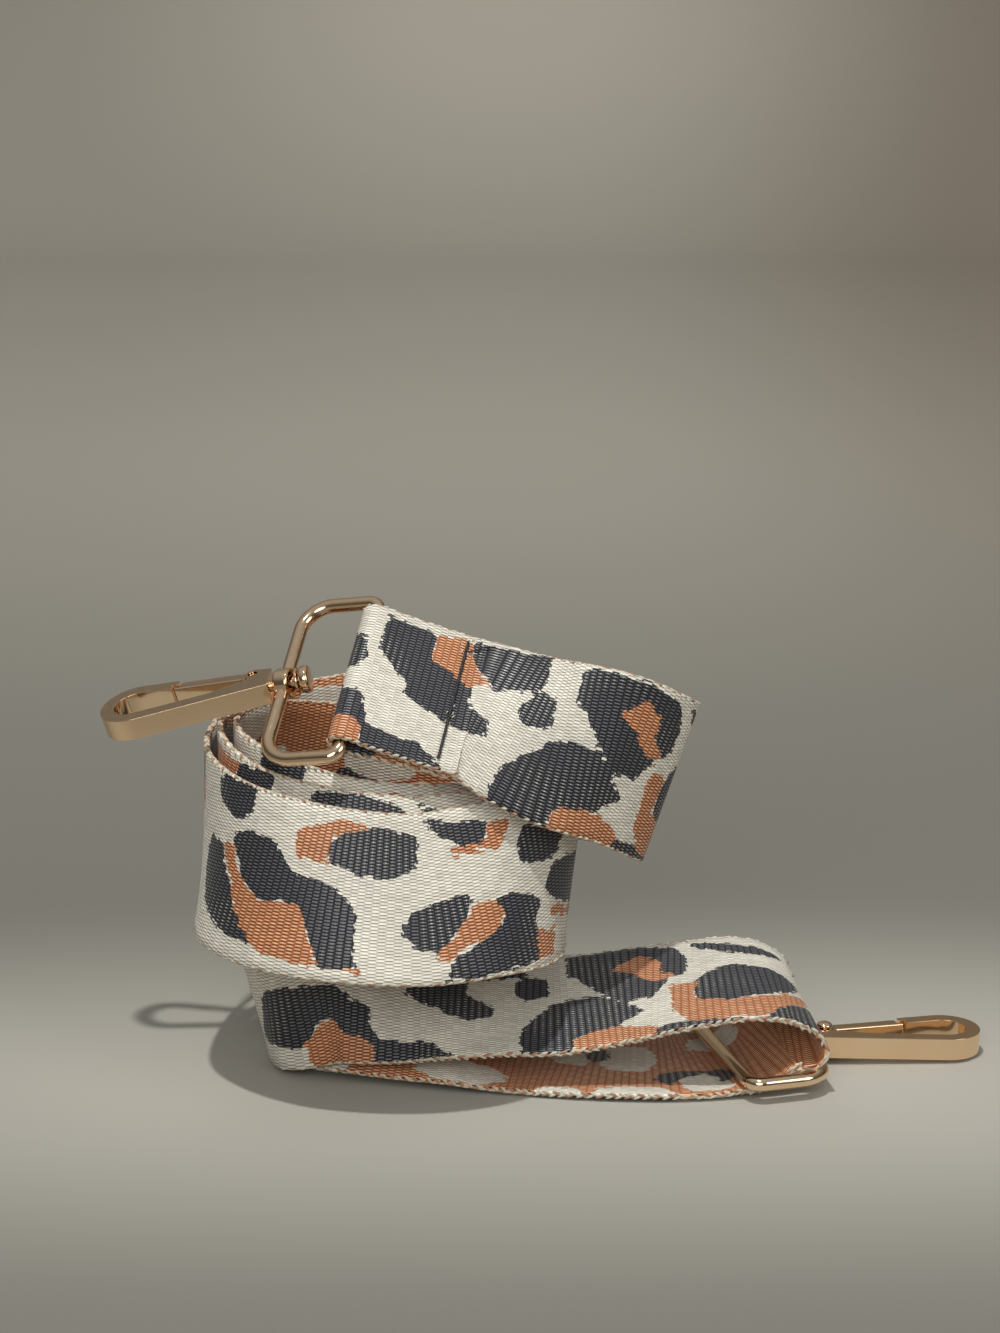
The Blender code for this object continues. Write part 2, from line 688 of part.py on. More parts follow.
def stand_on_floor():
    """Shifts everything so that the box stands on Z = 0 with the origin under its middle."""
    depsgraph = bpy.context.evaluated_depsgraph_get()
    low, high = Vector((1, 1, 1)), Vector((-1, -1, -1))
    for item in bpy.data.objects:
        if item.type != "MESH" or item.hide_render:
            continue
        solid = item.evaluated_get(depsgraph)
        for vertex in solid.data.vertices:
            place = item.matrix_world @ vertex.co
            for axis in range(3):
                low[axis] = min(low[axis], place[axis])
                high[axis] = max(high[axis], place[axis])
    shift = Vector((-(low.x + high.x) / 2, -(low.y + high.y) / 2, -low.z))
    for item in bpy.data.objects:
        if item.parent is None:
            item.matrix_world = Matrix.Translation(shift) @ item.matrix_world
    bpy.context.view_layer.update()
    print("box", [round(v, 5) for v in high - low], "shift", [round(v, 6) for v in shift])
    return shift


def seat_place():
    """The small flat inside the nose, where a bag's ring rests."""
    inner = NOSE_RADIUS - RIM_WIDTH
    return Vector((HOOK_LENGTH - NOSE_RADIUS + math.sqrt(inner**2 - (SEAT_WIDTH / 2)**2), 0, 0))


def report_axis(name, place, direction, shift):
    point = place.to_translation() + shift
    print(name, [round(v, 5) for v in point], [round(v, 5) for v in direction.normalized()])


def main():
    clear_scene()
    weave = make_material("webbing_cream", (0.78, 0.74, 0.62), 0.55)
    thread = make_material("black_thread", (0.02, 0.02, 0.025), 0.6)
    gold = make_material("pale_gold", (0.83, 0.68, 0.45), 0.18, 1.0)
    steel = make_material("spring_steel", (0.55, 0.54, 0.52), 0.3, 1.0)

    make_webbing(weave)
    fold = fold_frame()
    surface = WEB_THICKNESS + LAYER_GAP / 2 + CLEARANCE
    make_thread("fold_seam_needle_thread", fold, FOLD_SEAM_DISTANCE, surface, thread)
    make_thread("fold_seam_bobbin_thread", fold, FOLD_SEAM_DISTANCE, -surface, thread)
    make_slider(gold)
    slider = slider_frame()
    sewn, pitch, under_outer = slider_levels()
    surface = pitch / 2 + WEB_THICKNESS / 2 + CLEARANCE
    seam = slider @ Matrix.Translation((0, 0, under_outer - pitch * 3 / 2))
    make_thread("slider_seam_needle_thread", seam, -SLIDER_SEAM_DISTANCE, surface, thread)
    make_thread("slider_seam_bobbin_thread", seam, -SLIDER_SEAM_DISTANCE, -surface, thread)

    bar = fold.to_3x3() @ Vector((0, 1, 0))
    ring_a = frame(fold.to_translation(), ring_a_direction - bar * ring_a_direction.dot(bar), -bar)
    eye_a = make_ring("ring_a", ring_a, gold)
    hook_a = frame(eye_a.to_translation(), hook_a_direction, hook_a_side_direction)
    gate_a = make_hook("hook_a", hook_a, gold, steel)

    ring_b = frame(coil_point(ring_b_place_shares), *flat_directions(ring_b_angle, ring_b_rise))
    eye_b = make_ring("ring_b", ring_b, gold)
    hook_b = frame(eye_b.to_translation(), *flat_directions(hook_b_angle, hook_b_rise))
    gate_b = make_hook("hook_b", hook_b, gold, steel)

    shift = stand_on_floor()
    across, along, upward = Vector((0, 1, 0)), Vector((1, 0, 0)), Vector((0, 0, 1))
    seat = Matrix.Translation(seat_place())
    for side, ring, hook, gate in (("a", ring_a, hook_a, gate_a), ("b", ring_b, hook_b, gate_b)):
        report_axis(f"ring_{side}_swing", ring, ring.to_3x3() @ across, shift)
        report_axis(f"hook_{side}_swivel", hook, hook.to_3x3() @ along, shift)
        report_axis(f"hook_{side}_gate", gate, gate.to_3x3() @ upward, shift)
        report_axis(f"hook_{side}_seat", hook @ seat, hook.to_3x3() @ -along, shift)


main()
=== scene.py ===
import json
import math

import bmesh
import bpy
import numpy as np
from mathutils import Matrix, Vector


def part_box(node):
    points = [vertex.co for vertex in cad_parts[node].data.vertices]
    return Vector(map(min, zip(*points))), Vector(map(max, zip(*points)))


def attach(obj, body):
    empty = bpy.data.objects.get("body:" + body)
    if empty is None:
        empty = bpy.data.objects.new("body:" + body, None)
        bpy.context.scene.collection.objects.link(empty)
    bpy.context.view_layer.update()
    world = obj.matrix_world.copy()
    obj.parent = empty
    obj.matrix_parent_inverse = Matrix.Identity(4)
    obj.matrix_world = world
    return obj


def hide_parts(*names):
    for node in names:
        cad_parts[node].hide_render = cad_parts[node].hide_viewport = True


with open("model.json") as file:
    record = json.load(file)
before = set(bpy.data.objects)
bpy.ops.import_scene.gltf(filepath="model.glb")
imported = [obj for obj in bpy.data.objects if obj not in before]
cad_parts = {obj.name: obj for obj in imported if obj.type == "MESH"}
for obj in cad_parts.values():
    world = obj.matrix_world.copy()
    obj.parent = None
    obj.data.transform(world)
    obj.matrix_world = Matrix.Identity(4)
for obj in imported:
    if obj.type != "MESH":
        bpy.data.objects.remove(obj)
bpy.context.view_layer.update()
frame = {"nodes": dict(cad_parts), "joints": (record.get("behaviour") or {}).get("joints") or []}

mm = 0.001
joints = {joint["name"]: joint for joint in frame["joints"]}
scene = bpy.context.scene


# Camera, at the photograph's viewing angle

cameraSettings = {
    "place": (-0.00985, -0.78858, 0.30822),
    "tiltFromVertical": 74.5,
    "lens": 100,
    "sensor": 36,
}


def makeCamera():
    camera = bpy.data.objects.new("camera", bpy.data.cameras.new("camera"))
    camera.data.lens = cameraSettings["lens"]
    camera.data.sensor_width = cameraSettings["sensor"]
    camera.location = cameraSettings["place"]
    camera.rotation_euler = (math.radians(cameraSettings["tiltFromVertical"]), 0, 0)
    scene.collection.objects.link(camera)
    scene.camera = camera


makeCamera()
print("camera set")


# Small helpers for meshes and node trees

def axis(name):
    return Vector(joints[name]["axis"])


def place(name):
    return Vector(joints[name]["pos_m"])


def frameAt(origin, alongX, alongZ):
    alongX = alongX.normalized()
    alongY = alongZ.cross(alongX).normalized()
    turn = Matrix((alongX, alongY, alongX.cross(alongY))).transposed()
    return Matrix.Translation(origin) @ turn.to_4x4()


def addPiece(name, vertices, faces, material=None, where=None):
    mesh = bpy.data.meshes.new(name)
    mesh.from_pydata([tuple(v) for v in vertices], [], faces)
    tidy = bmesh.new()
    tidy.from_mesh(mesh)
    bmesh.ops.recalc_face_normals(tidy, faces=tidy.faces)
    tidy.to_mesh(mesh)
    tidy.free()
    if where is not None:
        mesh.transform(where)
    if material is not None:
        mesh.materials.append(material)
    piece = bpy.data.objects.new(name, mesh)
    scene.collection.objects.link(piece)
    return piece


def settle(piece):
    # the modifiers' result becomes the piece's plain mesh
    bpy.context.view_layer.update()
    depsgraph = bpy.context.evaluated_depsgraph_get()
    mesh = bpy.data.meshes.new_from_object(
        piece.evaluated_get(depsgraph), preserve_all_data_layers=True, depsgraph=depsgraph)
    piece.modifiers.clear()
    piece.data = mesh
    return piece


def cut(piece, cutter, operation="DIFFERENCE"):
    modifier = piece.modifiers.new(operation.title(), "BOOLEAN")
    modifier.operation = operation
    modifier.object = cutter
    settle(piece)
    bpy.data.objects.remove(cutter)


def roundEdges(piece, width, segments):
    modifier = piece.modifiers.new("Round", "BEVEL")
    modifier.width = width
    modifier.segments = segments
    modifier.limit_method = "ANGLE"
    modifier.angle_limit = math.radians(50)


def finishMetal(piece, sharpAngle=38):
    piece.data.shade_smooth()
    piece.data.set_sharp_from_angle(angle=math.radians(sharpAngle))
    modifier = piece.modifiers.new("Flat faces stay flat", "WEIGHTED_NORMAL")
    modifier.keep_sharp = True
    return settle(piece)


def ready(piece, body, slot, *nodes):
    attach(piece, body)
    if nodes:
        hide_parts(*nodes)


def addNode(tree, kind, **settings):
    node = tree.nodes.new(kind)
    for name, value in settings.items():
        setattr(node, name, value)
    return node


def feed(tree, socket, value):
    if isinstance(value, bpy.types.NodeSocket):
        tree.links.new(value, socket)
    else:
        socket.default_value = value


def calc(tree, operation, *values, clamp=False):
    node = addNode(tree, "ShaderNodeMath", operation=operation, use_clamp=clamp)
    for socket, value in zip(node.inputs, values):
        feed(tree, socket, value)
    return node.outputs[0]


def ramp(tree, value, low, high, toLow=0.0, toHigh=1.0):
    # a smooth step from toLow at low to toHigh at high
    node = addNode(tree, "ShaderNodeMapRange", interpolation_type="SMOOTHSTEP")
    for socket, given in zip(node.inputs, (value, low, high, toLow, toHigh)):
        feed(tree, socket, given)
    return node.outputs[0]


def mixColours(tree, share, one, two):
    node = addNode(tree, "ShaderNodeMix", data_type="RGBA")
    sockets = [socket for socket in node.inputs if socket.enabled]
    for socket, value in zip(sockets, (share, one, two)):
        feed(tree, socket, value)
    return [socket for socket in node.outputs if socket.enabled][0]


def splitVector(tree, vector):
    parts = addNode(tree, "ShaderNodeSeparateXYZ")
    tree.links.new(vector, parts.inputs[0])
    return parts.outputs


def colour(*screenValues):
    # red, green and blue of 0 to 255 as on a screen, turned into the shader's linear values
    linear = []
    for value in screenValues:
        part = value / 255
        linear.append(part / 12.92 if part <= 0.04045 else ((part + 0.055) / 1.055) ** 2.4)
    return (*linear, 1.0)


def newMaterial(name, roughness, metallic=0.0):
    material = bpy.data.materials.new(name)
    material.use_nodes = True
    shader = material.node_tree.nodes["Principled BSDF"]
    shader.inputs["Roughness"].default_value = roughness
    shader.inputs["Metallic"].default_value = metallic
    return material, material.node_tree, shader


def addBump(tree, shader, height, distance, strength):
    bump = addNode(tree, "ShaderNodeBump")
    bump.inputs["Distance"].default_value = distance
    bump.inputs["Strength"].default_value = strength
    feed(tree, bump.inputs["Height"], height)
    tree.links.new(bump.outputs["Normal"], shader.inputs["Normal"])


def noise(tree, scale, detail=2.0, vector=None):
    node = addNode(tree, "ShaderNodeTexNoise")
    node.inputs["Scale"].default_value = scale
    node.inputs["Detail"].default_value = detail
    if vector is None:
        vector = addNode(tree, "ShaderNodeTexCoord").outputs["Object"]
    tree.links.new(vector, node.inputs["Vector"])
    return node.outputs["Fac"]


def geometryTree(name, sizes):
    tree = bpy.data.node_groups.new(name, "GeometryNodeTree")
    tree.is_modifier = True
    tree.interface.new_socket("Geometry", in_out="INPUT", socket_type="NodeSocketGeometry")
    for label, value in sizes.items():
        kind = "NodeSocketInt" if isinstance(value, int) else "NodeSocketFloat"
        tree.interface.new_socket(label, in_out="INPUT", socket_type=kind).default_value = value
    tree.interface.new_socket("Geometry", in_out="OUTPUT", socket_type="NodeSocketGeometry")
    return tree, tree.nodes.new("NodeGroupInput").outputs


def storedVector(tree, name):
    read = addNode(tree, "GeometryNodeInputNamedAttribute", data_type="FLOAT_VECTOR")
    read.inputs["Name"].default_value = name
    return read.outputs["Attribute"]


def copyOnPoints(tree, points, inputs, material):
    # one smooth copy of the shape in inputs on every point
    toPoints = tree.nodes.new("GeometryNodeMeshToPoints")
    tree.links.new(points, toPoints.inputs["Mesh"])
    copies = tree.nodes.new("GeometryNodeInstanceOnPoints")
    tree.links.new(toPoints.outputs[0], copies.inputs["Points"])
    for name, source in inputs.items():
        tree.links.new(source, copies.inputs[name])
    smooth = tree.nodes.new("GeometryNodeSetShadeSmooth")
    tree.links.new(copies.outputs[0], smooth.inputs[0])
    endTree(tree, smooth.outputs[0], material)


def endTree(tree, geometry, material):
    # every tree ends in real geometry with its material set
    realize = tree.nodes.new("GeometryNodeRealizeInstances")
    tree.links.new(geometry, realize.inputs[0])
    setMaterial = tree.nodes.new("GeometryNodeSetMaterial")
    setMaterial.inputs["Material"].default_value = material
    tree.links.new(realize.outputs[0], setMaterial.inputs["Geometry"])
    tree.links.new(setMaterial.outputs[0], tree.nodes.new("NodeGroupOutput").inputs[0])


def runTree(piece, tree, sizes):
    modifier = piece.modifiers.new(tree.name, "NODES")
    modifier.node_group = tree
    for socket in tree.interface.items_tree:
        if socket.in_out == "INPUT" and socket.name in sizes:
            modifier[socket.identifier] = sizes[socket.name]
    return settle(piece)


# Weave: how the webbing's yarns lie, shared by its mesh and its material

weave = {
    "ribPitch": 1.6 * mm,        # one weft rib along the run
    "rowPitch": 0.735 * mm,      # one warp float across the run, offset by half in every second rib
    "ribHeight": 0.1 * mm,
    "patternPeriod": 462.75 * mm,
    "spikeLength": 2.1,          # of a spot's stepped edge, in millimetres
    "spotEdge": -0.3,            # a spot reaches this far past its outline, in millimetres
}

clothLook = {
    # where each ramp of the painted crest highlight, the painted shade in the gaps and valleys, and the dots
    # starts and ends, as shares of the way from a float's middle to its rim
    "crestHighlightAcross": (0.5, 0.15), "crestHighlightAlong": (0.95, 0.6),
    "gapShadeAcross": (0.6, 0.88), "gapShadeAlong": (1.0, 0.72), "valleyShadeAlong": (0.8, 1.0),
    "dotAcross": 0.42, "dotAlong": 0.32,
    # scales of the noises, and the noise values between which the dots come up
    "dotPatches": 55, "dotPatchEdge": (0.42, 0.58), "dotSeed": 7.0, "wearScale": 35,
    # strengths and shades, from the least to the most, the valley's share being of painted shade, and the
    # finish from the rim to the crest
    "valleyShadeShare": 0.3, "dotStrength": (0.35, 0.95), "floatShade": (0.9, 1.1), "wearShade": (0.94, 1.06),
    "bump": 0.14 * mm, "bumpStrength": 0.75, "roughness": (0.75, 0.36), "sheen": 0.12, "sheenRoughness": 0.4,
}

yarnColours = {
    # each yarn's colour on a float, a painted highlight for its crest, painted shade for the gaps between
    # floats, and its dots, which are partly weft and partly painted highlight
    "creamFloat": (226, 222, 208), "creamCrest": (240, 237, 226), "creamGap": (150, 140, 120),
    "creamDot": (250, 247, 234),
    "blackFloat": (22, 23, 27), "blackCrest": (106, 108, 116), "blackGap": (8, 8, 10),
    "blackDot": (206, 204, 192),
    "tanFloat": (182, 110, 66), "tanCrest": (238, 186, 142), "tanGap": (98, 46, 22),
    "tanDot": (250, 214, 176),
}


def yarnSet(tree, kind, blackMask, tanMask):
    cream, black, tan = [colour(*yarnColours[yarn + kind]) for yarn in ("cream", "black", "tan")]
    return mixColours(tree, tanMask, mixColours(tree, blackMask, cream, black), tan)


def weaveCells(tree):
    # which rib and row a point of the cloth is in, and how far it is from the middle of its float
    attribute = addNode(tree, "ShaderNodeAttribute", attribute_name="weave")
    run, across, back = splitVector(tree, attribute.outputs["Vector"])
    ribs = calc(tree, "DIVIDE", run, weave["ribPitch"] / mm)
    rib = calc(tree, "FLOOR", ribs)
    shifted = calc(tree, "MULTIPLY", calc(tree, "FLOORED_MODULO", rib, 2), 0.5)
    rows = calc(tree, "ADD", calc(tree, "DIVIDE", across, weave["rowPitch"] / mm), shifted)
    row = calc(tree, "FLOOR", rows)
    fromMiddle = []
    for value in (ribs, rows):
        centred = calc(tree, "SUBTRACT", calc(tree, "FRACT", value), 0.5)
        fromMiddle.append(calc(tree, "MULTIPLY", calc(tree, "ABSOLUTE", centred), 2))
    return run, back, rib, row, fromMiddle[0], fromMiddle[1]


def cellNoise(tree, *parts):
    vector = addNode(tree, "ShaderNodeCombineXYZ")
    for socket, value in zip(vector.inputs, parts):
        feed(tree, socket, value)
    white = addNode(tree, "ShaderNodeTexWhiteNoise", noise_dimensions="3D")
    tree.links.new(vector.outputs[0], white.inputs["Vector"])
    return white.outputs["Value"]


def spotMasks(tree, run, row, back):
    # the spots' edges step from row to row, with short spikes along the run
    spike = cellNoise(tree, row, calc(tree, "FLOOR", calc(tree, "DIVIDE", run, weave["spikeLength"])), back)
    jag = calc(tree, "SUBTRACT", spike, 0.5)
    attribute = addNode(tree, "ShaderNodeAttribute", attribute_name="spots")
    insideBlack, insideTan, _ = splitVector(tree, attribute.outputs["Vector"])
    tan = calc(tree, "GREATER_THAN", calc(tree, "ADD", insideTan, jag), weave["spotEdge"])
    dark = calc(tree, "GREATER_THAN", calc(tree, "ADD", insideBlack, jag), weave["spotEdge"])
    dark = calc(tree, "MULTIPLY", dark, calc(tree, "SUBTRACT", 1, tan))
    plain = calc(tree, "SUBTRACT", calc(tree, "SUBTRACT", 1, tan), dark)
    # on the back cream turns tan, black turns cream and tan turns black
    front = calc(tree, "SUBTRACT", 1, back)
    swaps = ((dark, tan), (tan, plain))
    return [calc(tree, "ADD", calc(tree, "MULTIPLY", one, front), calc(tree, "MULTIPLY", two, back))
            for one, two in swaps]


def weftDotsAndGlints(tree, rib, row, fromRib, fromRow):
    # small dots in some places, partly the weft peeping out and partly a painted highlight on the floats'
    # middles
    patchy = ramp(tree, noise(tree, clothLook["dotPatches"], 1.0), *clothLook["dotPatchEdge"])
    oval = calc(tree, "ADD", calc(tree, "POWER", calc(tree, "DIVIDE", fromRow, clothLook["dotAcross"]), 2),
                calc(tree, "POWER", calc(tree, "DIVIDE", fromRib, clothLook["dotAlong"]), 2))
    peep = calc(tree, "MULTIPLY", ramp(tree, oval, 1.0, 0.5), patchy)
    dice = cellNoise(tree, rib, row, clothLook["dotSeed"])
    return calc(tree, "MULTIPLY", peep, ramp(tree, dice, 0.0, 0.9, *clothLook["dotStrength"]))


def makeWebbingMaterial():
    material, tree, shader = newMaterial("wovenWebbing", 0.5)
    run, back, rib, row, fromRib, fromRow = weaveCells(tree)
    masks = spotMasks(tree, run, row, back)
    floats, crestHighlights, gapShades, dotsAndGlints = [yarnSet(tree, kind, *masks) for kind in ("Float", "Crest", "Gap", "Dot")]

    # a painted highlight along the crest of every float, a dash of painted shade between two floats, and a
    # faint painted shade in the valley between the ribs
    crestHighlight = calc(tree, "MULTIPLY", ramp(tree, fromRow, *clothLook["crestHighlightAcross"]),
                 ramp(tree, fromRib, *clothLook["crestHighlightAlong"]))
    between = calc(tree, "MULTIPLY", ramp(tree, fromRow, *clothLook["gapShadeAcross"]),
                   ramp(tree, fromRib, *clothLook["gapShadeAlong"]))
    valleyShade = calc(tree, "MULTIPLY", ramp(tree, fromRib, *clothLook["valleyShadeAlong"]), clothLook["valleyShadeShare"])
    shade = mixColours(tree, crestHighlight, floats, crestHighlights)
    shade = mixColours(tree, calc(tree, "MAXIMUM", between, valleyShade), shade, gapShades)
    shade = mixColours(tree, weftDotsAndGlints(tree, rib, row, fromRib, fromRow), shade, dotsAndGlints)
    # each float has its own shade, and the whole band wears a little unevenly
    ownShade = ramp(tree, cellNoise(tree, rib, row, back), 0.0, 1.0, *clothLook["floatShade"])
    wear = ramp(tree, noise(tree, clothLook["wearScale"], 3.0), 0.3, 0.7, *clothLook["wearShade"])
    value = addNode(tree, "ShaderNodeVectorMath", operation="SCALE")
    tree.links.new(shade, value.inputs[0])
    tree.links.new(calc(tree, "MULTIPLY", ownShade, wear), value.inputs["Scale"])
    tree.links.new(value.outputs[0], shader.inputs["Base Color"])

    hump = calc(tree, "MULTIPLY", calc(tree, "SUBTRACT", 1, calc(tree, "POWER", fromRow, 2)),
                calc(tree, "SUBTRACT", 1, calc(tree, "POWER", fromRib, 4)))
    addBump(tree, shader, hump, clothLook["bump"], clothLook["bumpStrength"])
    tree.links.new(ramp(tree, hump, 0.0, 0.8, *clothLook["roughness"]), shader.inputs["Roughness"])
    shader.inputs["Sheen Weight"].default_value = clothLook["sheen"]
    shader.inputs["Sheen Roughness"].default_value = clothLook["sheenRoughness"]
    return material


# Finishes of the yarns and the metal. A colour is a darker and a lighter one, which a noise mixes

selvedgeLook = {
    "fibreScale": 1800, "bump": 0.08 * mm, "bumpStrength": 0.6, "roughness": 0.55,
    "cream": ((188, 176, 150), (236, 228, 208)), "tan": ((120, 72, 44), (206, 146, 104)),
}
threadLook = {
    "fibreScale": 2400, "bump": 0.05 * mm, "bumpStrength": 0.6, "roughness": 0.55,
    "black": ((12, 12, 14), (56, 56, 60)), "cream": ((190, 180, 156), (236, 230, 212)),
}
metalLook = {
    "cloudScale": 60, "wornScale": 420, "wornEdge": (0.35, 0.75), "smoothest": 0.8, "roughest": 1.35,
    "grainScale": 260, "grain": 0.03 * mm, "grainStrength": 0.1,
    "gold": ((244, 208, 168), (252, 226, 192)), "goldRoughness": 0.1,
    "steel": ((190, 188, 184), (220, 218, 214)), "steelRoughness": 0.25,
}


def mixPair(tree, share, pair):
    return mixColours(tree, share, colour(*pair[0]), colour(*pair[1]))


def makeSelvedgeMaterial():
    look = selvedgeLook
    material, tree, shader = newMaterial("selvedgeYarn", look["roughness"])
    yarn = addNode(tree, "ShaderNodeAttribute", attribute_name="yarn").outputs["Fac"]
    fibre = noise(tree, look["fibreScale"])
    cream, tan = mixPair(tree, fibre, look["cream"]), mixPair(tree, fibre, look["tan"])
    tree.links.new(mixColours(tree, yarn, cream, tan), shader.inputs["Base Color"])
    addBump(tree, shader, fibre, look["bump"], look["bumpStrength"])
    shader.inputs["Sheen Weight"].default_value = clothLook["sheen"]
    return material


def makeThreadMaterial(name, pair):
    look = threadLook
    material, tree, shader = newMaterial(name, look["roughness"])
    fibre = noise(tree, look["fibreScale"])
    tree.links.new(mixPair(tree, fibre, pair), shader.inputs["Base Color"])
    addBump(tree, shader, fibre, look["bump"], look["bumpStrength"])
    return material


def makeMetalMaterial(name, pair, roughness):
    look = metalLook
    material, tree, shader = newMaterial(name, roughness, 1.0)
    cloudy = noise(tree, look["cloudScale"], 3.0)
    tree.links.new(mixPair(tree, cloudy, pair), shader.inputs["Base Color"])
    worn = ramp(tree, noise(tree, look["wornScale"], 4.0), *look["wornEdge"],
                roughness * look["smoothest"], roughness * look["roughest"])
    tree.links.new(worn, shader.inputs["Roughness"])
    addBump(tree, shader, noise(tree, look["grainScale"]), look["grain"], look["grainStrength"])
    return material


webbingMaterial = makeWebbingMaterial()
selvedgeMaterial = makeSelvedgeMaterial()
threadMaterial = makeThreadMaterial("blackSewingThread", threadLook["black"])
fibreMaterial = makeThreadMaterial("looseFibre", threadLook["cream"])
goldMaterial = makeMetalMaterial("paleGoldPlate", metalLook["gold"], metalLook["goldRoughness"])
steelMaterial = makeMetalMaterial("springSteel", metalLook["steel"], metalLook["steelRoughness"])
print("materials made")


# Leopard spots on the band's outer face, as outlines of (along the run, across the band) in millimetres,
# in the order in which they are painted: a tan spot covers a black one. The picture repeats

blackSpots = [
    [(24, 14), (31, 9), (32, 5), (31, 1.3), (28, 2), (25, 7)],
    [(4.5, -13), (7.5, -2), (12.5, -.5), (22, -1), (26, -1.5), (29, -5), (33, -6), (34, -10), (36, -14),
     (48, -14.5), (54, -18.5), (54, -19.5), (35, -19.5), (35, -16), (33, -14), (28, -13), (24, -9), (20, -9),
     (16, -14)],
    [(34.5, 16.5), (46, 16), (46, 9), (50, 8), (56, 5), (56, 1), (57, -1), (62, -3), (63, -6), (57, -7.5),
     (49, -5), (42, -2), (42, 1), (34.5, 7)],
    [(54.5, 17), (68, 18.5), (69.5, 10), (60, 6), (57, 10), (55, 12)],
    [(67, 5), (69, 9), (74, 9), (75, 3), (70, .5), (68, 1.5)],
    [(80, 17.5), (95, 18), (103, 16), (106, 12), (106, 5), (102, 4), (101, 1), (98, -3), (91, -3), (88, 1),
     (85, 5), (82, 9), (80, 10)],
    [(70, -10), (72, -6), (76, -1), (80, .5), (86, .5), (90, -2), (92, -5), (96, -8), (94, -10), (91, -11),
     (90, -13), (80, -14), (79, -19.5), (70, -19.5), (69, -14)],
    [(107.5, -2), (110.5, 3), (116.5, 5), (124.5, 5), (132.5, 3), (129.5, -3), (124.5, -7), (116.5, -10),
     (111.5, -11), (108.5, -8)],
    [(106.5, 18), (114.5, 15), (129.5, 14), (126.5, 12), (119.5, 11), (114.5, 12), (110.5, 14.5)],
    [(97, -17), (106, -16.5), (112, -17), (117, -19.5), (97, -19.5)],
    [(121.5, -18), (124, -14), (132, -8), (136, -5), (136.5, -12), (134, -19.5), (121.5, -19.5)],
    [(136.5, 6), (144.5, 5), (143.5, -1), (137.5, 0)],
    [(152, 16), (163, 14), (166, 8), (158, 5), (151, 9)],
    [(174.5, 6), (177, 9), (184, 9.5), (186.5, 6), (187, -2), (184, -5), (177, -5), (174.5, -1)],
    [(188.5, 2), (191, 4.5), (196, 4), (198, 1), (196.5, -2), (190, -2.5)],
    [(163.5, -7), (170.5, -7), (170, -12), (168.5, -17), (160.5, -17), (161, -12)],
    [(171.5, -17), (174, -15), (181, -14.5), (186, -16), (187, -19.5), (171.5, -19.5)],
    [(188.5, -18), (191, -16), (196, -16), (199, -18), (198.5, -19.5), (188.5, -19.5)],
    [(205, -14), (209, -11), (217, -10), (225, -11.5), (228, -15), (222, -18), (212, -18.5)],
    [(202, 11), (206, 15.5), (213, 17), (220, 14.5), (223.5, 9), (222, 3.5), (214, 1), (206, 3.5)],
    [(232, 3), (241, 8), (252, 6), (255, -2), (246, -7), (235, -5)],
    [(243, 18), (262, 18), (264, 12), (252, 11), (244, 14)],
    [(240, -13), (252, -12), (262, -15), (260, -19.5), (242, -19.5)],
    [(276, 18), (288, 19), (289, 14), (287, 12), (283, 11), (277, 13), (275, 16)],
    [(285, 7), (289, 9), (297, 8.5), (299, 6), (304, 3), (313, 1), (316, -1), (318, -3), (318.5, -14),
     (319.5, -16), (312, -16), (311, -12), (308, -7), (304, -4), (302, -3), (299, -4.5), (296, -4), (291, -1),
     (289, 2), (286, 5)],
    [(276, 4.5), (283, 3), (284, 0), (288, -3), (291, -8), (296, -11), (297, -14), (288, -13), (280, -10),
     (277, -5), (275, 0)],
    [(310, 11), (315, 14), (322, 15.5), (332, 13), (331, 7), (325, 4.5), (318, 5), (311, 7)],
    [(334, 17), (350.5, 14.5), (348.5, 9.5), (343.5, 9.5), (342, 12), (338, 14)],
    [(357, 7), (360, 12), (372, 9), (369, 5), (364, 3.5), (358, 4.5)],
    [(328, -7), (330, -3), (335, -1), (343, -.5), (341, -5), (338, -8), (334, -12), (330, -10)],
    [(346, -3), (352, -2), (358, -3), (361, -4.5), (357, -10), (360, -12), (357, -16.5), (345, -18),
     (335, -18), (337, -14), (343, -11), (348, -9), (350, -6)],
    [(364, -3), (367, 2), (372, 3), (385, 2), (395, -4), (402, -9), (402, -15), (397, -16), (388, -12),
     (380, -9), (372, -7), (366, -5)],
    [(397, 1), (405, 2), (412, -3), (408, -8), (400, -6)],
    [(384, 17), (398, 16), (404, 11), (396, 8), (386, 11)],
    [(416, 15), (428, 13), (427, 5), (418, 6)],
    [(430, -13), (436, -9), (446, -9), (452, -13), (452, -19.5), (430, -19.5)],
    [(438, 6), (448, 10), (457, 7), (455, 0), (444, -2)],
]
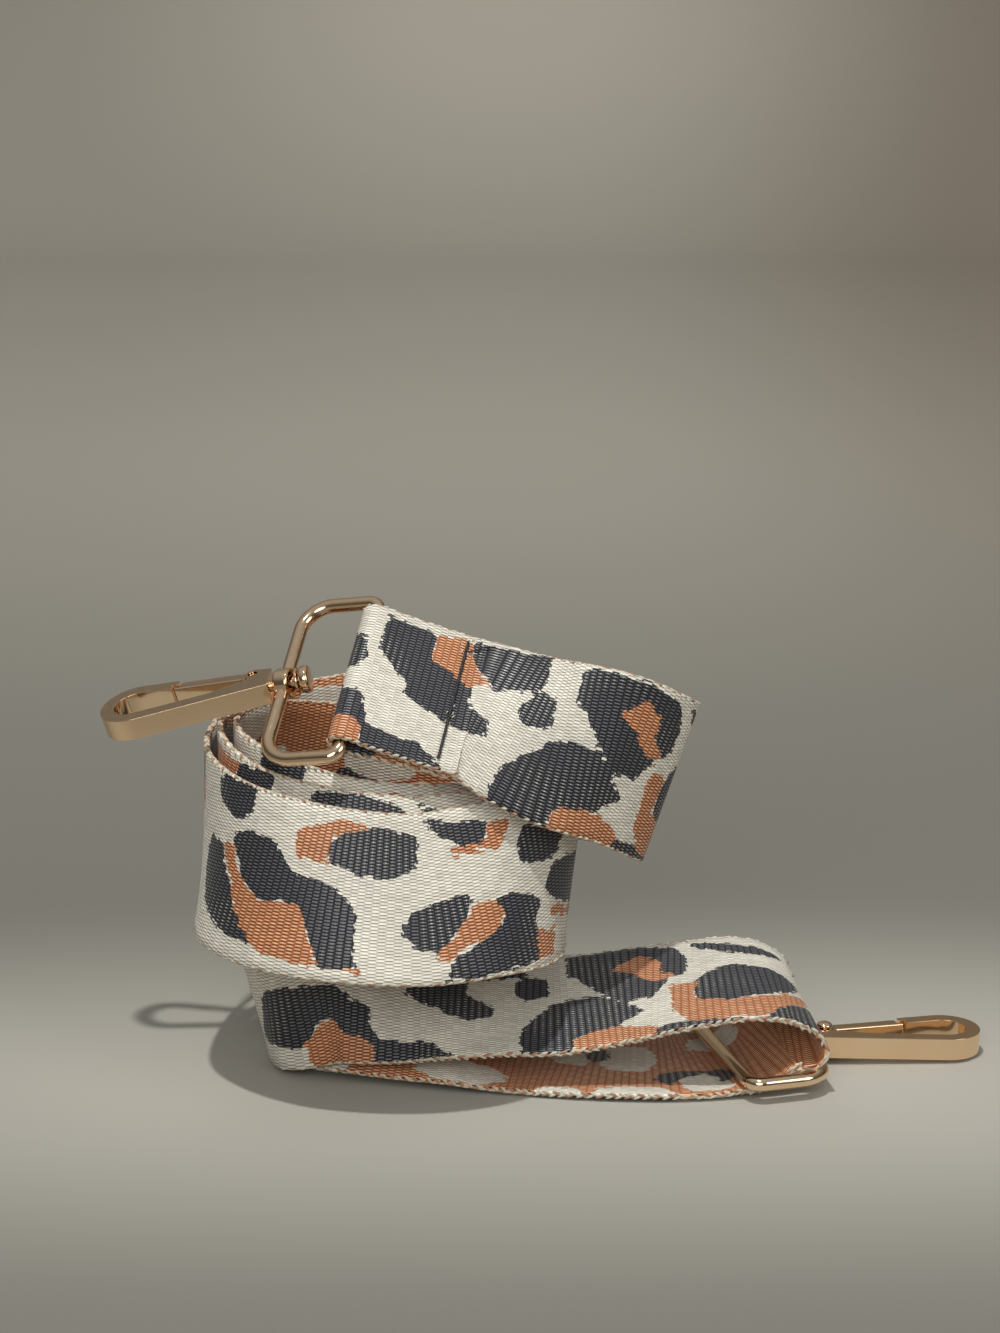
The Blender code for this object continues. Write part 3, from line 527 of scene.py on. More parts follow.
tanSpots = [
    [(16, -14), (20, -10), (24, -9), (28, -12.5), (33, -13.5), (35, -16), (35, -19.5), (17, -19.5)],
    [(46, 16), (54, 17), (54.5, 12), (57, 10), (58.5, 6), (55, 5), (50, 8), (46, 9)],
    [(90, 10), (95, 14), (99, 12), (100, 9), (99, 7), (103, 4.5), (103, 3), (98, 3.5), (95, 7)],
    [(80, -15), (83, -13.5), (90, -13), (97, -15), (100, -16), (98, -19.5), (80, -19.5)],
    [(102.5, 0), (108, 0), (107.5, -8), (116, -11), (125, -8), (134.5, -2), (132, -8), (124, -14),
     (121, -18), (108, -17), (104, -12)],
    [(134.5, 11), (138, 13), (145, 12.5), (148, 9), (145, 6.5), (137, 6.5)],
    [(185, 6.5), (189, 7), (190.5, 3), (189, -0.5), (185.5, 0)],
    [(159, -8), (162, -5.5), (168, -5), (173.5, -7), (175, -11), (172, -13), (170, -9), (165.5, -7),
     (163, -9), (162.5, -12.5), (159.5, -12)],
    [(214, 1), (223, 4), (227, -3), (219, -6)],
    [(252, 6), (259, 4), (260, -5), (255, -2)],
    [(252, 11), (264, 12), (266, 6), (257, 7)],
    [(283, 5), (286, 4.5), (289, 0), (292, -2), (296, -4.5), (302, -3.5), (306, -4), (308, -8), (311, -14),
     (312, -16), (320, -16), (320, -17), (300, -15), (297, -13), (294, -11), (290, -6), (288, -2), (284, 2)],
    [(302, 12), (306, 14), (313, 16), (320, 16), (318, 15), (311, 13), (310, 9), (311, 6.5), (304, 7),
     (302.5, 9)],
    [(341, 9.8), (349, 10), (351, 14), (356, 14), (354, 10.5), (351, 8.5), (341.5, 8.5)],
    [(343, -3), (348, -2.5), (350, -6), (346, -9), (340, -11), (336, -13.5), (334, -13), (338, -9),
     (341, -6)],
    [(358, -10.5), (361, -12), (366, -12), (363, -16.5), (357, -17)],
    [(365, -7), (372, -8), (380, -10), (390, -14), (397, -17), (394, -18), (384, -14), (374, -10),
     (365, -9)],
    [(396, 8), (404, 11), (410, 6), (402, 4)],
    [(427, 5), (434, 8), (438, 1), (430, -1)],
]


def insideDistance(points, outline):
    # how far each point lies inside the outline, in millimetres; outside it is negative
    corners = np.array(outline, float)
    edges = np.roll(corners, -1, axis=0) - corners
    toPoint = points[:, None, :] - corners
    share = np.clip((toPoint * edges).sum(2) / (edges**2).sum(1), 0, 1)
    gap = np.linalg.norm(toPoint - share[..., None] * edges, axis=2).min(1)
    ends = corners + edges
    straddles = (corners[:, 1] > points[:, 1:]) != (ends[:, 1] > points[:, 1:])
    rise = np.where(edges[:, 1] == 0, 1, edges[:, 1])
    crossing = corners[:, 0] + (points[:, 1:] - corners[:, 1]) / rise * edges[:, 0]
    inside = (straddles & (crossing > points[:, :1])).sum(1) % 2 == 1
    return np.where(inside, gap, -gap)


def spotDistance(points, spots, reach=4.0):
    found = np.full(len(points), -reach)
    for outline in spots:
        low, high = np.min(outline, axis=0) - reach, np.max(outline, axis=0) + reach
        near = ((points > low) & (points < high)).all(1)
        found[near] = np.maximum(found[near], insideDistance(points[near], outline))
    return found


# Webbing: the CAD band is a chain of sections with four corners, walked from the cut tail by ring A

webbing = {
    "halfWidth": 18.6 * mm,
    "edgeWidth": 18.85 * mm,
    "halfThickness": 0.56 * mm,
    "edgeThickness": 0.28 * mm,
    "frontColumns": 22,
    "backColumns": 14,
    "samplesPerRib": 3,
    "flat": (38 * mm, 1265 * mm),
    "endThickness": 1.5 * mm,       # an end's short edges are under this, and its long ones over the width
    "endWidth": 37 * mm,
    "routeStep": 0.2 * mm,
}


def farthest(start):
    steps = {start: 0}
    queue = [start]
    for vertex in queue:
        for edge in vertex.link_edges:
            other = edge.other_vert(vertex)
            if other not in steps:
                steps[other] = steps[vertex] + 1
                queue.append(other)
    return queue[-1]


def endCorners(vertex, thickness, width):
    corners = {vertex}
    for _ in range(2):
        for face in {face for corner in corners for face in corner.link_faces}:
            lengths = [edge.calc_length() for edge in face.edges]
            if min(lengths) < thickness and max(lengths) > width:
                corners |= set(face.verts)
    return corners


def bandSections():
    band = bmesh.new()
    band.from_mesh(frame["nodes"]["webbing"].data)
    bmesh.ops.remove_doubles(band, verts=band.verts, dist=0.01 * mm)
    ringBar = place("ring_a_swing")
    oneEnd = farthest(next(iter(band.verts)))
    ends = (oneEnd, farthest(oneEnd))
    start = min(ends, key=lambda vertex: (vertex.co - ringBar).length)
    corners, behind = endCorners(start, webbing["endThickness"], webbing["endWidth"]), set()
    across = axis("ring_a_swing")
    outward = None
    sections = []
    while corners:
        ahead = {edge.other_vert(v) for v in corners for edge in v.link_edges} - corners - behind
        centre = sum((v.co for v in corners), Vector()) / 4
        if outward is None:
            run = sum((v.co for v in ahead), Vector()) / 4 - centre
            outward = run.cross(across)
        upper = sorted(corners, key=lambda v: (v.co - centre).dot(across))[2:]
        outer = sorted(corners, key=lambda v: (v.co - centre).dot(outward))[2:]
        across = (sum((v.co for v in upper), Vector()) / 2 - centre).normalized()
        outward = (sum((v.co for v in outer), Vector()) / 2 - centre).normalized()
        sections.append((centre, across))
        behind, corners = corners, ahead
    band.free()
    return [np.array([list(vector) for vector in column]) for column in zip(*sections)]


def smoothAlong(knots, values, places):
    # a smooth curve through the values at the knots, read at the places
    slopes = np.empty_like(values)
    steps = np.diff(knots)[:, None]
    grades = np.diff(values, axis=0) / steps
    slopes[1:-1] = (grades[:-1] * steps[1:] + grades[1:] * steps[:-1]) / (steps[1:] + steps[:-1])
    slopes[0], slopes[-1] = grades[0], grades[-1]
    cell = np.clip(np.searchsorted(knots, places, "right") - 1, 0, len(knots) - 2)
    span = np.diff(knots)[cell][:, None]
    u = ((places - knots[cell])[:, None]) / span
    return (values[cell] * (2 * u**3 - 3 * u**2 + 1) + slopes[cell] * (u**3 - 2 * u**2 + u) * span
            + values[cell + 1] * (3 * u**2 - 2 * u**3) + slopes[cell + 1] * (u**3 - u**2) * span)


def unit(rows):
    return rows / np.linalg.norm(rows, axis=1)[:, None]


class BandRoute:
    # the band's middle line with its width direction and its outer face's direction, by run length
    def __init__(self):
        centres, across = bandSections()
        self.knots = np.concatenate([[0], np.cumsum(np.linalg.norm(np.diff(centres, axis=0), axis=1))])
        self.centres, self.across = centres, across
        self.length = self.knots[-1]

    def at(self, places):
        places = np.atleast_1d(places)
        step = webbing["routeStep"]
        middle = smoothAlong(self.knots, self.centres, places)
        run = unit(smoothAlong(self.knots, self.centres, np.minimum(places + step, self.length))
                   - smoothAlong(self.knots, self.centres, np.maximum(places - step, 0)))
        across = smoothAlong(self.knots, self.across, places)
        across = unit(across - run * (run * across).sum(1)[:, None])
        return middle, run, across, np.cross(run, across)


route = BandRoute()
print("webbing route", round(float(route.length), 4), "m")


def bandProfile():
    # one closed loop round the band: width, thickness, which face, and how far the ribs push outward
    half, thick = webbing["halfWidth"], webbing["halfThickness"]
    front = [(w, thick, 0, 1) for w in np.linspace(-half, half, webbing["frontColumns"])]
    back = [(w, -thick, 1, -1) for w in np.linspace(half, -half, webbing["backColumns"])]
    edge, edgeThick = webbing["edgeWidth"], webbing["edgeThickness"]
    top = [(edge, edgeThick, 0, 0), (edge, -edgeThick, 1, 0)]
    bottom = [(-edge, -edgeThick, 1, 0), (-edge, edgeThick, 0, 0)]
    return np.array(front + top + back + bottom)


def ribTree():
    # pushes the band's faces out into weft ribs, by the run length stored on each point
    sizes = {"Rib Pitch": 1.0, "Rib Height": 0.1 * mm}
    tree, given = geometryTree("weftRibs", sizes)
    run = splitVector(tree, storedVector(tree, "weave"))[0]
    turns = calc(tree, "MULTIPLY", calc(tree, "DIVIDE", run, given["Rib Pitch"]), math.tau)
    wave = calc(tree, "SUBTRACT", 0.5, calc(tree, "MULTIPLY", calc(tree, "COSINE", turns), 0.5))
    offset = addNode(tree, "ShaderNodeVectorMath", operation="SCALE")
    tree.links.new(storedVector(tree, "push"), offset.inputs[0])
    tree.links.new(calc(tree, "MULTIPLY", wave, given["Rib Height"]), offset.inputs["Scale"])
    move = tree.nodes.new("GeometryNodeSetPosition")
    tree.links.new(given["Geometry"], move.inputs["Geometry"])
    tree.links.new(offset.outputs[0], move.inputs["Offset"])
    endTree(tree, move.outputs[0], webbingMaterial)
    return tree


def addVectors(mesh, name, rows):
    attribute = mesh.attributes.new(name, "FLOAT_VECTOR", "POINT")
    attribute.data.foreach_set("vector", np.asarray(rows, np.float32).ravel())


def addPoints(name, points, **vectors):
    # loose points with stored vectors, on which a tree puts its copies
    mesh = bpy.data.meshes.new(name)
    mesh.from_pydata(points, [], [])
    for label, rows in vectors.items():
        addVectors(mesh, label, rows)
    piece = bpy.data.objects.new(name, mesh)
    scene.collection.objects.link(piece)
    return piece


def makeWebbing():
    profile = bandProfile()
    step = weave["ribPitch"] / webbing["samplesPerRib"]
    places = np.arange(0, route.length, step)
    middle, run, across, outward = route.at(places)
    points = middle[:, None] + across[:, None] * profile[:, 0, None] + outward[:, None] * profile[:, 1, None]
    rows, columns = points.shape[:2]
    index = np.arange(rows * columns).reshape(rows, columns)
    after = np.roll(index, -1, axis=1)
    faces = np.stack([index[:-1], after[:-1], after[1:], index[1:]], axis=2).reshape(-1, 4)
    caps = [tuple(index[0][::-1]), tuple(index[-1])]
    mesh = bpy.data.meshes.new("webbingBand")
    mesh.from_pydata(points.reshape(-1, 3), [], [tuple(face) for face in faces] + caps)
    cloth = np.empty((rows, columns, 3))
    cloth[:, :, 0] = places[:, None] / mm
    cloth[:, :, 1] = profile[:, 0] / mm
    cloth[:, :, 2] = profile[:, 2]
    addVectors(mesh, "weave", cloth.reshape(-1, 3))
    addVectors(mesh, "push", (outward[:, None] * profile[:, 3, None]).reshape(-1, 3))
    flat = cloth.reshape(-1, 3)[:, :2].copy()
    flat[:, 0] %= weave["patternPeriod"] / mm
    spots = np.zeros((len(flat), 3))
    spots[:, 0], spots[:, 1] = spotDistance(flat, blackSpots), spotDistance(flat, tanSpots)
    addVectors(mesh, "spots", spots)
    mesh.shade_smooth()
    band = bpy.data.objects.new("webbingBand", mesh)
    scene.collection.objects.link(band)
    runTree(band, ribTree(), {"Rib Pitch": weave["ribPitch"] / mm, "Rib Height": weave["ribHeight"]})
    ready(band, "strap", "webbing_cream", "webbing")
    return band


webbingBand = makeWebbing()
print("webbing made,", len(webbingBand.data.polygons), "faces")


# Selvedges: braided yarns along both edges of the band

selvedge = {
    "pitch": 0.9 * mm,
    "yarnLength": 2.2 * mm,
    "yarnThickness": 0.74 * mm,
    "slant": 22.0,
    "edgePlace": 18.68 * mm,
    "layerOffset": 0.22 * mm,
    "tanShade": 0.85,                # of every third yarn
}


def yarnTree():
    # a small rounded yarn on every point, turned to its stored direction
    sizes = {"Yarn Length": 2 * mm, "Yarn Thickness": 0.5 * mm, "Segments": 6, "Rings": 5}
    tree, given = geometryTree("selvedgeYarns", sizes)
    ball = tree.nodes.new("GeometryNodeMeshUVSphere")
    tree.links.new(given["Segments"], ball.inputs["Segments"])
    tree.links.new(given["Rings"], ball.inputs["Rings"])
    ball.inputs["Radius"].default_value = 0.5
    size = tree.nodes.new("ShaderNodeCombineXYZ")
    for socket, source in zip(size.inputs, ("Yarn Thickness", "Yarn Thickness", "Yarn Length")):
        tree.links.new(given[source], socket)
    turn = addNode(tree, "FunctionNodeAlignRotationToVector", axis="Z")
    tree.links.new(storedVector(tree, "direction"), turn.inputs["Vector"])
    inputs = {"Instance": ball.outputs[0], "Rotation": turn.outputs[0], "Scale": size.outputs[0]}
    copyOnPoints(tree, given["Geometry"], inputs, selvedgeMaterial)
    return tree


def makeSelvedge(name, side, tree):
    places = np.arange(selvedge["pitch"] / 2, route.length, selvedge["pitch"])
    middle, run, across, outward = route.at(places)
    lean = math.radians(selvedge["slant"])
    layer = np.where(np.arange(len(places)) % 2 == 0, 1, -1)[:, None]
    points = middle + across * side * selvedge["edgePlace"] + outward * layer * selvedge["layerOffset"]
    direction = run * math.cos(lean) + outward * layer * math.sin(lean)
    edge = addPoints(name, points, direction=direction)
    tan = np.where(np.arange(len(places)) % 3 == 1, selvedge["tanShade"], 0.0)
    shades = edge.data.attributes.new("yarn", "FLOAT", "POINT")
    shades.data.foreach_set("value", tan.astype(np.float32))
    runTree(edge, tree, {"Yarn Length": selvedge["yarnLength"], "Yarn Thickness": selvedge["yarnThickness"]})
    ready(edge, "strap", "webbing_cream")
    return edge


selvedgeTree = yarnTree()
upperSelvedge = makeSelvedge("upperSelvedge", 1, selvedgeTree)
lowerSelvedge = makeSelvedge("lowerSelvedge", -1, selvedgeTree)
print("selvedges made,", len(upperSelvedge.data.polygons), "faces each")


# Turned, swept and plate shapes for the metal pieces

def turned(profile, sides):
    # a solid turned about X, from (x, radius) points that start and end on the axis
    vertices, faces, rings = [], [], []
    for x, radius in profile:
        count = 1 if radius == 0 else sides
        rings.append(list(range(len(vertices), len(vertices) + count)))
        for k in range(count):
            turn = math.tau * k / sides
            vertices.append(Vector((x, radius * math.cos(turn), radius * math.sin(turn))))
    for one, two in zip(rings, rings[1:]):
        for k in range(sides):
            n = (k + 1) % sides
            corners = [one[k % len(one)], two[k % len(two)], two[n % len(two)], one[n % len(one)]]
            faces.append(tuple(dict.fromkeys(corners)))
    return vertices, faces


def upright(vertices):
    return [Vector((-v.z, v.y, v.x)) for v in vertices]


def swept(path, radius, sides, closed=False):
    count = len(path)
    vertices, faces, normal = [], [], None
    for i, point in enumerate(path):
        before = path[i - 1] if i or closed else point
        after = path[(i + 1) % count] if i + 1 < count or closed else point
        tangent = (after - before).normalized()
        normal = tangent.orthogonal() if normal is None else normal
        normal = (normal - tangent * normal.dot(tangent)).normalized()
        side = tangent.cross(normal)
        for k in range(sides):
            turn = math.tau * k / sides
            vertices.append(point + (normal * math.cos(turn) + side * math.sin(turn)) * radius)
    for i in range(count if closed else count - 1):
        j = (i + 1) % count
        for k in range(sides):
            n = (k + 1) % sides
            faces.append((i * sides + k, i * sides + n, j * sides + n, j * sides + k))
    if not closed:
        faces += [tuple(range(sides)), tuple(range((count - 1) * sides, count * sides))]
    return vertices, faces


def addThreads(name, paths, radius, sides, material):
    # one piece made of a round thread along each path
    vertices, faces = [], []
    for path in paths:
        points, around = swept(path, radius, sides)
        faces += [tuple(i + len(vertices) for i in face) for face in around]
        vertices += points
    piece = addPiece(name, vertices, faces, material)
    piece.data.shade_smooth()
    return piece


def plate(outline, low, high):
    count = len(outline)
    vertices = [Vector((x, y, z)) for z in (low, high) for x, y in outline]
    faces = [tuple(range(count)), tuple(range(count, 2 * count))]
    faces += [(i, (i + 1) % count, count + (i + 1) % count, count + i) for i in range(count)]
    return vertices, faces


def arc(centre, radius, start, end, steps):
    turns = [start + (end - start) * i / steps for i in range(steps + 1)]
    return [(centre[0] + radius * math.cos(t), centre[1] + radius * math.sin(t)) for t in turns]


def roundedLoop(low, high, half, lowCorner, highCorner, steps=12):
    # a rounded rectangle from x = low to x = high, half wide each way
    quarter = math.pi / 2
    points = arc((low + lowCorner, half - lowCorner), lowCorner, 2 * quarter, quarter, steps)
    points += arc((high - highCorner, half - highCorner), highCorner, quarter, 0, steps)
    points += arc((high - highCorner, highCorner - half), highCorner, 0, -quarter, steps)
    points += arc((low + lowCorner, lowCorner - half), lowCorner, -quarter, -2 * quarter, steps)
    return [Vector((x, y, 0)) for x, y in points]


fits = {"clearance": 0.3 * mm, "webWidth": 38 * mm, "sidePlay": 1.4 * mm, "overrun": 2 * mm}

ring = {
    "wire": 1.6 * mm, "depth": 18 * mm, "farCorner": 6.8 * mm, "barCorner": 2.8 * mm,
    "eyeRadius": 3.4 * mm, "eyeLength": 3.6 * mm, "eyeRound": 0.6 * mm, "bore": 2 * mm, "sides": 28,
}

hook = {
    "length": 42.5 * mm, "thickness": 5 * mm, "edgeRound": 0.7 * mm,
    "neckStart": 3 * mm, "neckHalf": 3.7 * mm, "noseRadius": 7.8 * mm, "rim": 3.2 * mm, "webEnd": 17 * mm,
    "shank": 1.3 * mm, "shankReach": 5 * mm,
}

gate = {
    "joint": 25 * mm, "pivot": 7.2 * mm, "width": 3 * mm, "thickness": 4.4 * mm, "lip": 1.2 * mm,
    "root": 2.4 * mm, "ear": 1.9 * mm, "knuckle": 1.6 * mm, "tongue": 1 * mm, "slot": 2.8 * mm,
    "pin": 0.8 * mm, "pinHead": 1.8 * mm, "pinHeadHeight": 0.9 * mm,
    "springWire": 0.15 * mm, "springRadius": 1.3 * mm, "springTurns": 2,
    "springStart": math.radians(150), "springSteps": 28, "springSides": 10, "edgeRound": 0.4 * mm,
}

swivel = {
    "washerRadius": 2.9 * mm, "washerThickness": 0.6 * mm, "washerStart": 2.8 * mm,
    "washerRound": 0.2 * mm,
    "capRadius": 3.1 * mm, "capLength": 2.2 * mm, "capStart": 3.7 * mm, "capRound": 0.7 * mm,
}


def drum(start, end, radius, rounding, sides=48):
    # a short cylinder on X with rounded rims
    right, up = 0, math.pi / 2
    near = arc((start + rounding, radius - rounding), rounding, 2 * up, up, 5)
    far = arc((end - rounding, radius - rounding), rounding, up, right, 5)
    return turned([(start, 0)] + near + far + [(end, 0)], sides)


def rod(start, end, radius, where, sides=48, vertical=False):
    vertices, faces = turned([(start, 0), (start, radius), (end, radius), (end, 0)], sides)
    return addPiece("cutter", upright(vertices) if vertical else vertices, faces, where=where)


def makeRing(name, where):
    half = fits["webWidth"] / 2 + fits["sidePlay"] + ring["wire"]
    path = roundedLoop(0, ring["depth"], half, ring["barCorner"], ring["farCorner"])
    piece = addPiece(name, *swept(path, ring["wire"], ring["sides"], closed=True), goldMaterial, where)
    eye = where @ Matrix.Translation((ring["depth"], 0, 0))
    reach = ring["eyeLength"] / 2
    barrel = drum(-reach, reach, ring["eyeRadius"], ring["eyeRound"])
    cut(piece, addPiece("eye", *barrel, where=eye), "UNION")
    cut(piece, rod(-reach - fits["overrun"], reach + fits["overrun"], ring["bore"], eye))
    return finishMetal(piece)


def hookTaper():
    run, rise = hook["length"] - hook["noseRadius"] - hook["neckStart"], hook["neckHalf"]
    return math.asin(hook["noseRadius"] / math.hypot(run, rise)) - math.atan2(rise, run)


def hookEdge(x):
    return hook["neckHalf"] + (x - hook["neckStart"]) * math.tan(hookTaper())


def pivotPlace():
    return Vector((gate["pivot"], hookEdge(gate["pivot"]) - hook["rim"] / 2, 0))


def hookOutline():
    taper = hookTaper()
    nose = (hook["length"] - hook["noseRadius"], 0)
    quarter = math.pi / 2 + taper
    inner = hook["noseRadius"] - hook["rim"]
    rim = hook["rim"] / math.cos(taper)
    joint, lip = gate["joint"], gate["joint"] + gate["lip"] + fits["clearance"]
    pivot = pivotPlace()
    outline = [(hook["neckStart"], -hook["neckHalf"])]
    outline += arc(nose, hook["noseRadius"], -quarter, quarter, 56)
    outline += [(joint, hookEdge(joint)), (joint, hookEdge(joint) - rim / 2),
                (lip, hookEdge(lip) - rim / 2), (lip, hookEdge(lip) - rim)]
    outline += arc(nose, inner, quarter, -quarter, 44)
    outline += [(hook["webEnd"], rim - hookEdge(hook["webEnd"]))]
    outline += arc((pivot.x, pivot.y), gate["ear"], -math.radians(72), quarter, 20)
    outline += [(hook["neckStart"], hook["neckHalf"])]
    return outline


def makeHookBody(name, where):
    half, over = hook["thickness"] / 2, fits["overrun"]
    piece = addPiece(name, *plate(hookOutline(), -half, half), goldMaterial, where)
    roundEdges(piece, hook["edgeRound"], 4)
    settle(piece)
    cut(piece, rod(-hook["shankReach"], hook["neckStart"] + over / 2, hook["shank"], where), "UNION")
    pivot = where @ Matrix.Translation(pivotPlace())
    high = gate["slot"] / 2
    cut(piece, rod(-high, high, gate["ear"] + fits["clearance"], pivot, vertical=True))
    cut(piece, rod(-half - over, half + over, gate["pin"] + fits["clearance"], pivot, vertical=True))
    return finishMetal(piece)


def makeGate(name, where):
    gap, over = fits["clearance"], fits["overrun"]
    reach = (gate["joint"] - gate["pivot"]) / math.cos(hookTaper()) - gap
    half, tall = gate["width"] / 2, gate["thickness"] / 2
    outline = [(0, -half), (reach + gate["lip"], -half), (reach + gate["lip"], -gap), (reach, -gap),
               (reach, half), (0, half)]
    outline += arc((0, 0), gate["knuckle"], math.pi / 2, math.pi * 3 / 2, 20)[1:-1]
    piece = addPiece(name, *plate(outline, -tall, tall), goldMaterial, where)
    roundEdges(piece, gate["edgeRound"], 3)
    settle(piece)
    low = gap - gate["slot"] / 2
    start = -gate["knuckle"] - over
    for near, far in ((low + gate["tongue"], tall + over), (-tall - over, low)):
        shape = [(start, -gate["width"]), (gate["root"], -gate["width"]), (gate["root"], gate["width"]),
                 (start, gate["width"])]
        cut(piece, addPiece("cutter", *plate(shape, near, far), where=where))
    cut(piece, rod(-tall - over, tall + over, gate["pin"] + gap, where, vertical=True))
    return finishMetal(piece)


def makePin(name, where):
    low = fits["clearance"] - hook["thickness"] / 2
    seat = hook["thickness"] / 2 + fits["clearance"]
    turns = [math.pi / 2 * i / 8 for i in range(8)]
    dome = [(seat + gate["pinHeadHeight"] * math.sin(t), gate["pinHead"] * math.cos(t)) for t in turns]
    profile = [(low, 0), (low, gate["pin"]), (seat, gate["pin"])] + dome
    profile.append((seat + gate["pinHeadHeight"], 0))
    vertices, faces = turned(profile, 40)
    return finishMetal(addPiece(name, upright(vertices), faces, goldMaterial, where))


def makeSpring(name, where):
    start = 2 * fits["clearance"] + gate["tongue"] - gate["slot"] / 2 + gate["springWire"]
    end = gate["slot"] / 2 - fits["clearance"] - gate["springWire"]
    steps = gate["springSteps"] * gate["springTurns"]
    coil = arc((0, 0), gate["springRadius"], gate["springStart"],
               gate["springStart"] + math.tau * gate["springTurns"], steps)
    path = [Vector((x, y, start + (end - start) * i / steps)) for i, (x, y) in enumerate(coil)]
    wire = swept(path, gate["springWire"], gate["springSides"])
    return finishMetal(addPiece(name, *wire, steelMaterial, where))


def makeCap(name, where):
    bore = hook["shank"] + fits["clearance"]
    back, start = swivel["capStart"] + swivel["capLength"], swivel["capStart"]
    cap = drum(-back, -start, swivel["capRadius"], swivel["capRound"])
    piece = addPiece(name, *cap, goldMaterial, where)
    cut(piece, rod(-hook["shankReach"] - fits["clearance"], fits["overrun"] - start, bore, where))
    return finishMetal(piece)


def makeWasher(name, where):
    bore = hook["shank"] + fits["clearance"]
    end = -swivel["washerStart"]
    start = end - swivel["washerThickness"]
    washer = drum(start, end, swivel["washerRadius"], swivel["washerRound"])
    piece = addPiece(name, *washer, goldMaterial, where)
    cut(piece, rod(start - fits["overrun"], end + fits["overrun"], bore, where))
    return finishMetal(piece)


def makeHardware(side, ringTurn):
    bar, eye = place(f"ring_{side}_swing"), place(f"hook_{side}_swivel")
    barAxis = axis(f"ring_{side}_swing") * ringTurn
    ringFrame = frameAt(bar, eye - bar, (eye - bar).cross(barAxis))
    ready(makeRing(f"ring{side.upper()}", ringFrame), f"ring_{side}", "pale_gold", f"ring_{side}")
    hookFrame = frameAt(eye, axis(f"hook_{side}_swivel"), -axis(f"gate_{side}_swing"))
    gateFrame = hookFrame @ Matrix.Translation(pivotPlace()) @ Matrix.Rotation(hookTaper(), 4, "Z")
    body = f"hook_{side}"
    for label, make, where, rides, slot, node in (
        ("Body", makeHookBody, hookFrame, body, "pale_gold", "body"),
        ("Gate", makeGate, gateFrame, f"gate_{side}", "pale_gold", "gate"),
        ("GatePin", makePin, gateFrame, body, "spring_steel", "gate_pin"),
        ("GateSpring", makeSpring, gateFrame, body, "spring_steel", "gate_spring"),
        ("SwivelCap", makeCap, hookFrame, body, "pale_gold", "swivel_cap"),
        ("SwivelWasher", makeWasher, hookFrame, body, "pale_gold", "swivel_washer"),
    ):
        ready(make(f"hook{side.upper()}{label}", where), rides, slot, f"hook_{side}_{node}")


makeHardware("a", -1)
makeHardware("b", 1)
print("rings and hooks made")


# Slider: hidden in the coil, at the sewn end of the band

slider = {"barRadius": 1.5 * mm, "spacing": 11.8 * mm, "sides": 20}


def sliderFrame():
    # the CAD slider's points spread most along its bars and least through its thickness
    low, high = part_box("slider")
    centre = (low + high) / 2
    cad = bmesh.new()
    cad.from_mesh(frame["nodes"]["slider"].data)
    points = np.array([list(v.co) for v in cad.verts]) - np.array(centre)
    cad.free()
    _, _, directions = np.linalg.svd(points - points.mean(0), full_matrices=False)
    return frameAt(centre, Vector(directions[1]), Vector(directions[2]))


def makeSlider():
    where = sliderFrame()
    half = fits["webWidth"] / 2 + fits["sidePlay"] + slider["barRadius"]
    corner, reach = slider["barRadius"] * 2, slider["spacing"]
    path = roundedLoop(-reach, reach, half, corner, corner, 8)
    frameBar = swept(path, slider["barRadius"], slider["sides"], closed=True)
    piece = addPiece("slider", *frameBar, goldMaterial, where)
    bar = [Vector((0, -half, 0)), Vector((0, half, 0))]
    cut(piece, addPiece("bar", *swept(bar, slider["barRadius"], slider["sides"]), where=where), "UNION")
    ready(finishMetal(piece), "strap", "pale_gold", "slider")


makeSlider()
print("slider made")


# Seams: one lock stitch row on each sewn end, seen from both sides

seam = {
    "stitches": 11,
    "threadRadius": 0.33 * mm,
    "stitchRise": 0.3 * mm,
    "fillShare": 0.92,
    "sides": 8,
    "archSteps": 8,
    "searchLength": 120 * mm,       # the seam is looked for in this first stretch of the band
    "searchStep": 0.2 * mm,
    "tailLength": 5.4 * mm,
    "tailDrop": 3.0 * mm,
    "tailRadius": 0.19 * mm,
    "tailSteps": 8,
    "tailHeight": 0.3 * mm,
    "tailLift": 0.5 * mm,
    "fibres": 26,
    "fibreRadius": 0.14 * mm,
    "fibreSpread": 1.1 * mm,
    "fibreSides": 6,
    "fibreLean": 0.5 * mm,
    "fibreLength": 0.7 * mm,
    "fibreArch": ((0, 0.05), (0.4, 0.3), (0.7, 0.3), (1, 0.05)),   # share of its length, height in mm
    "fibreSeed": 5,
}


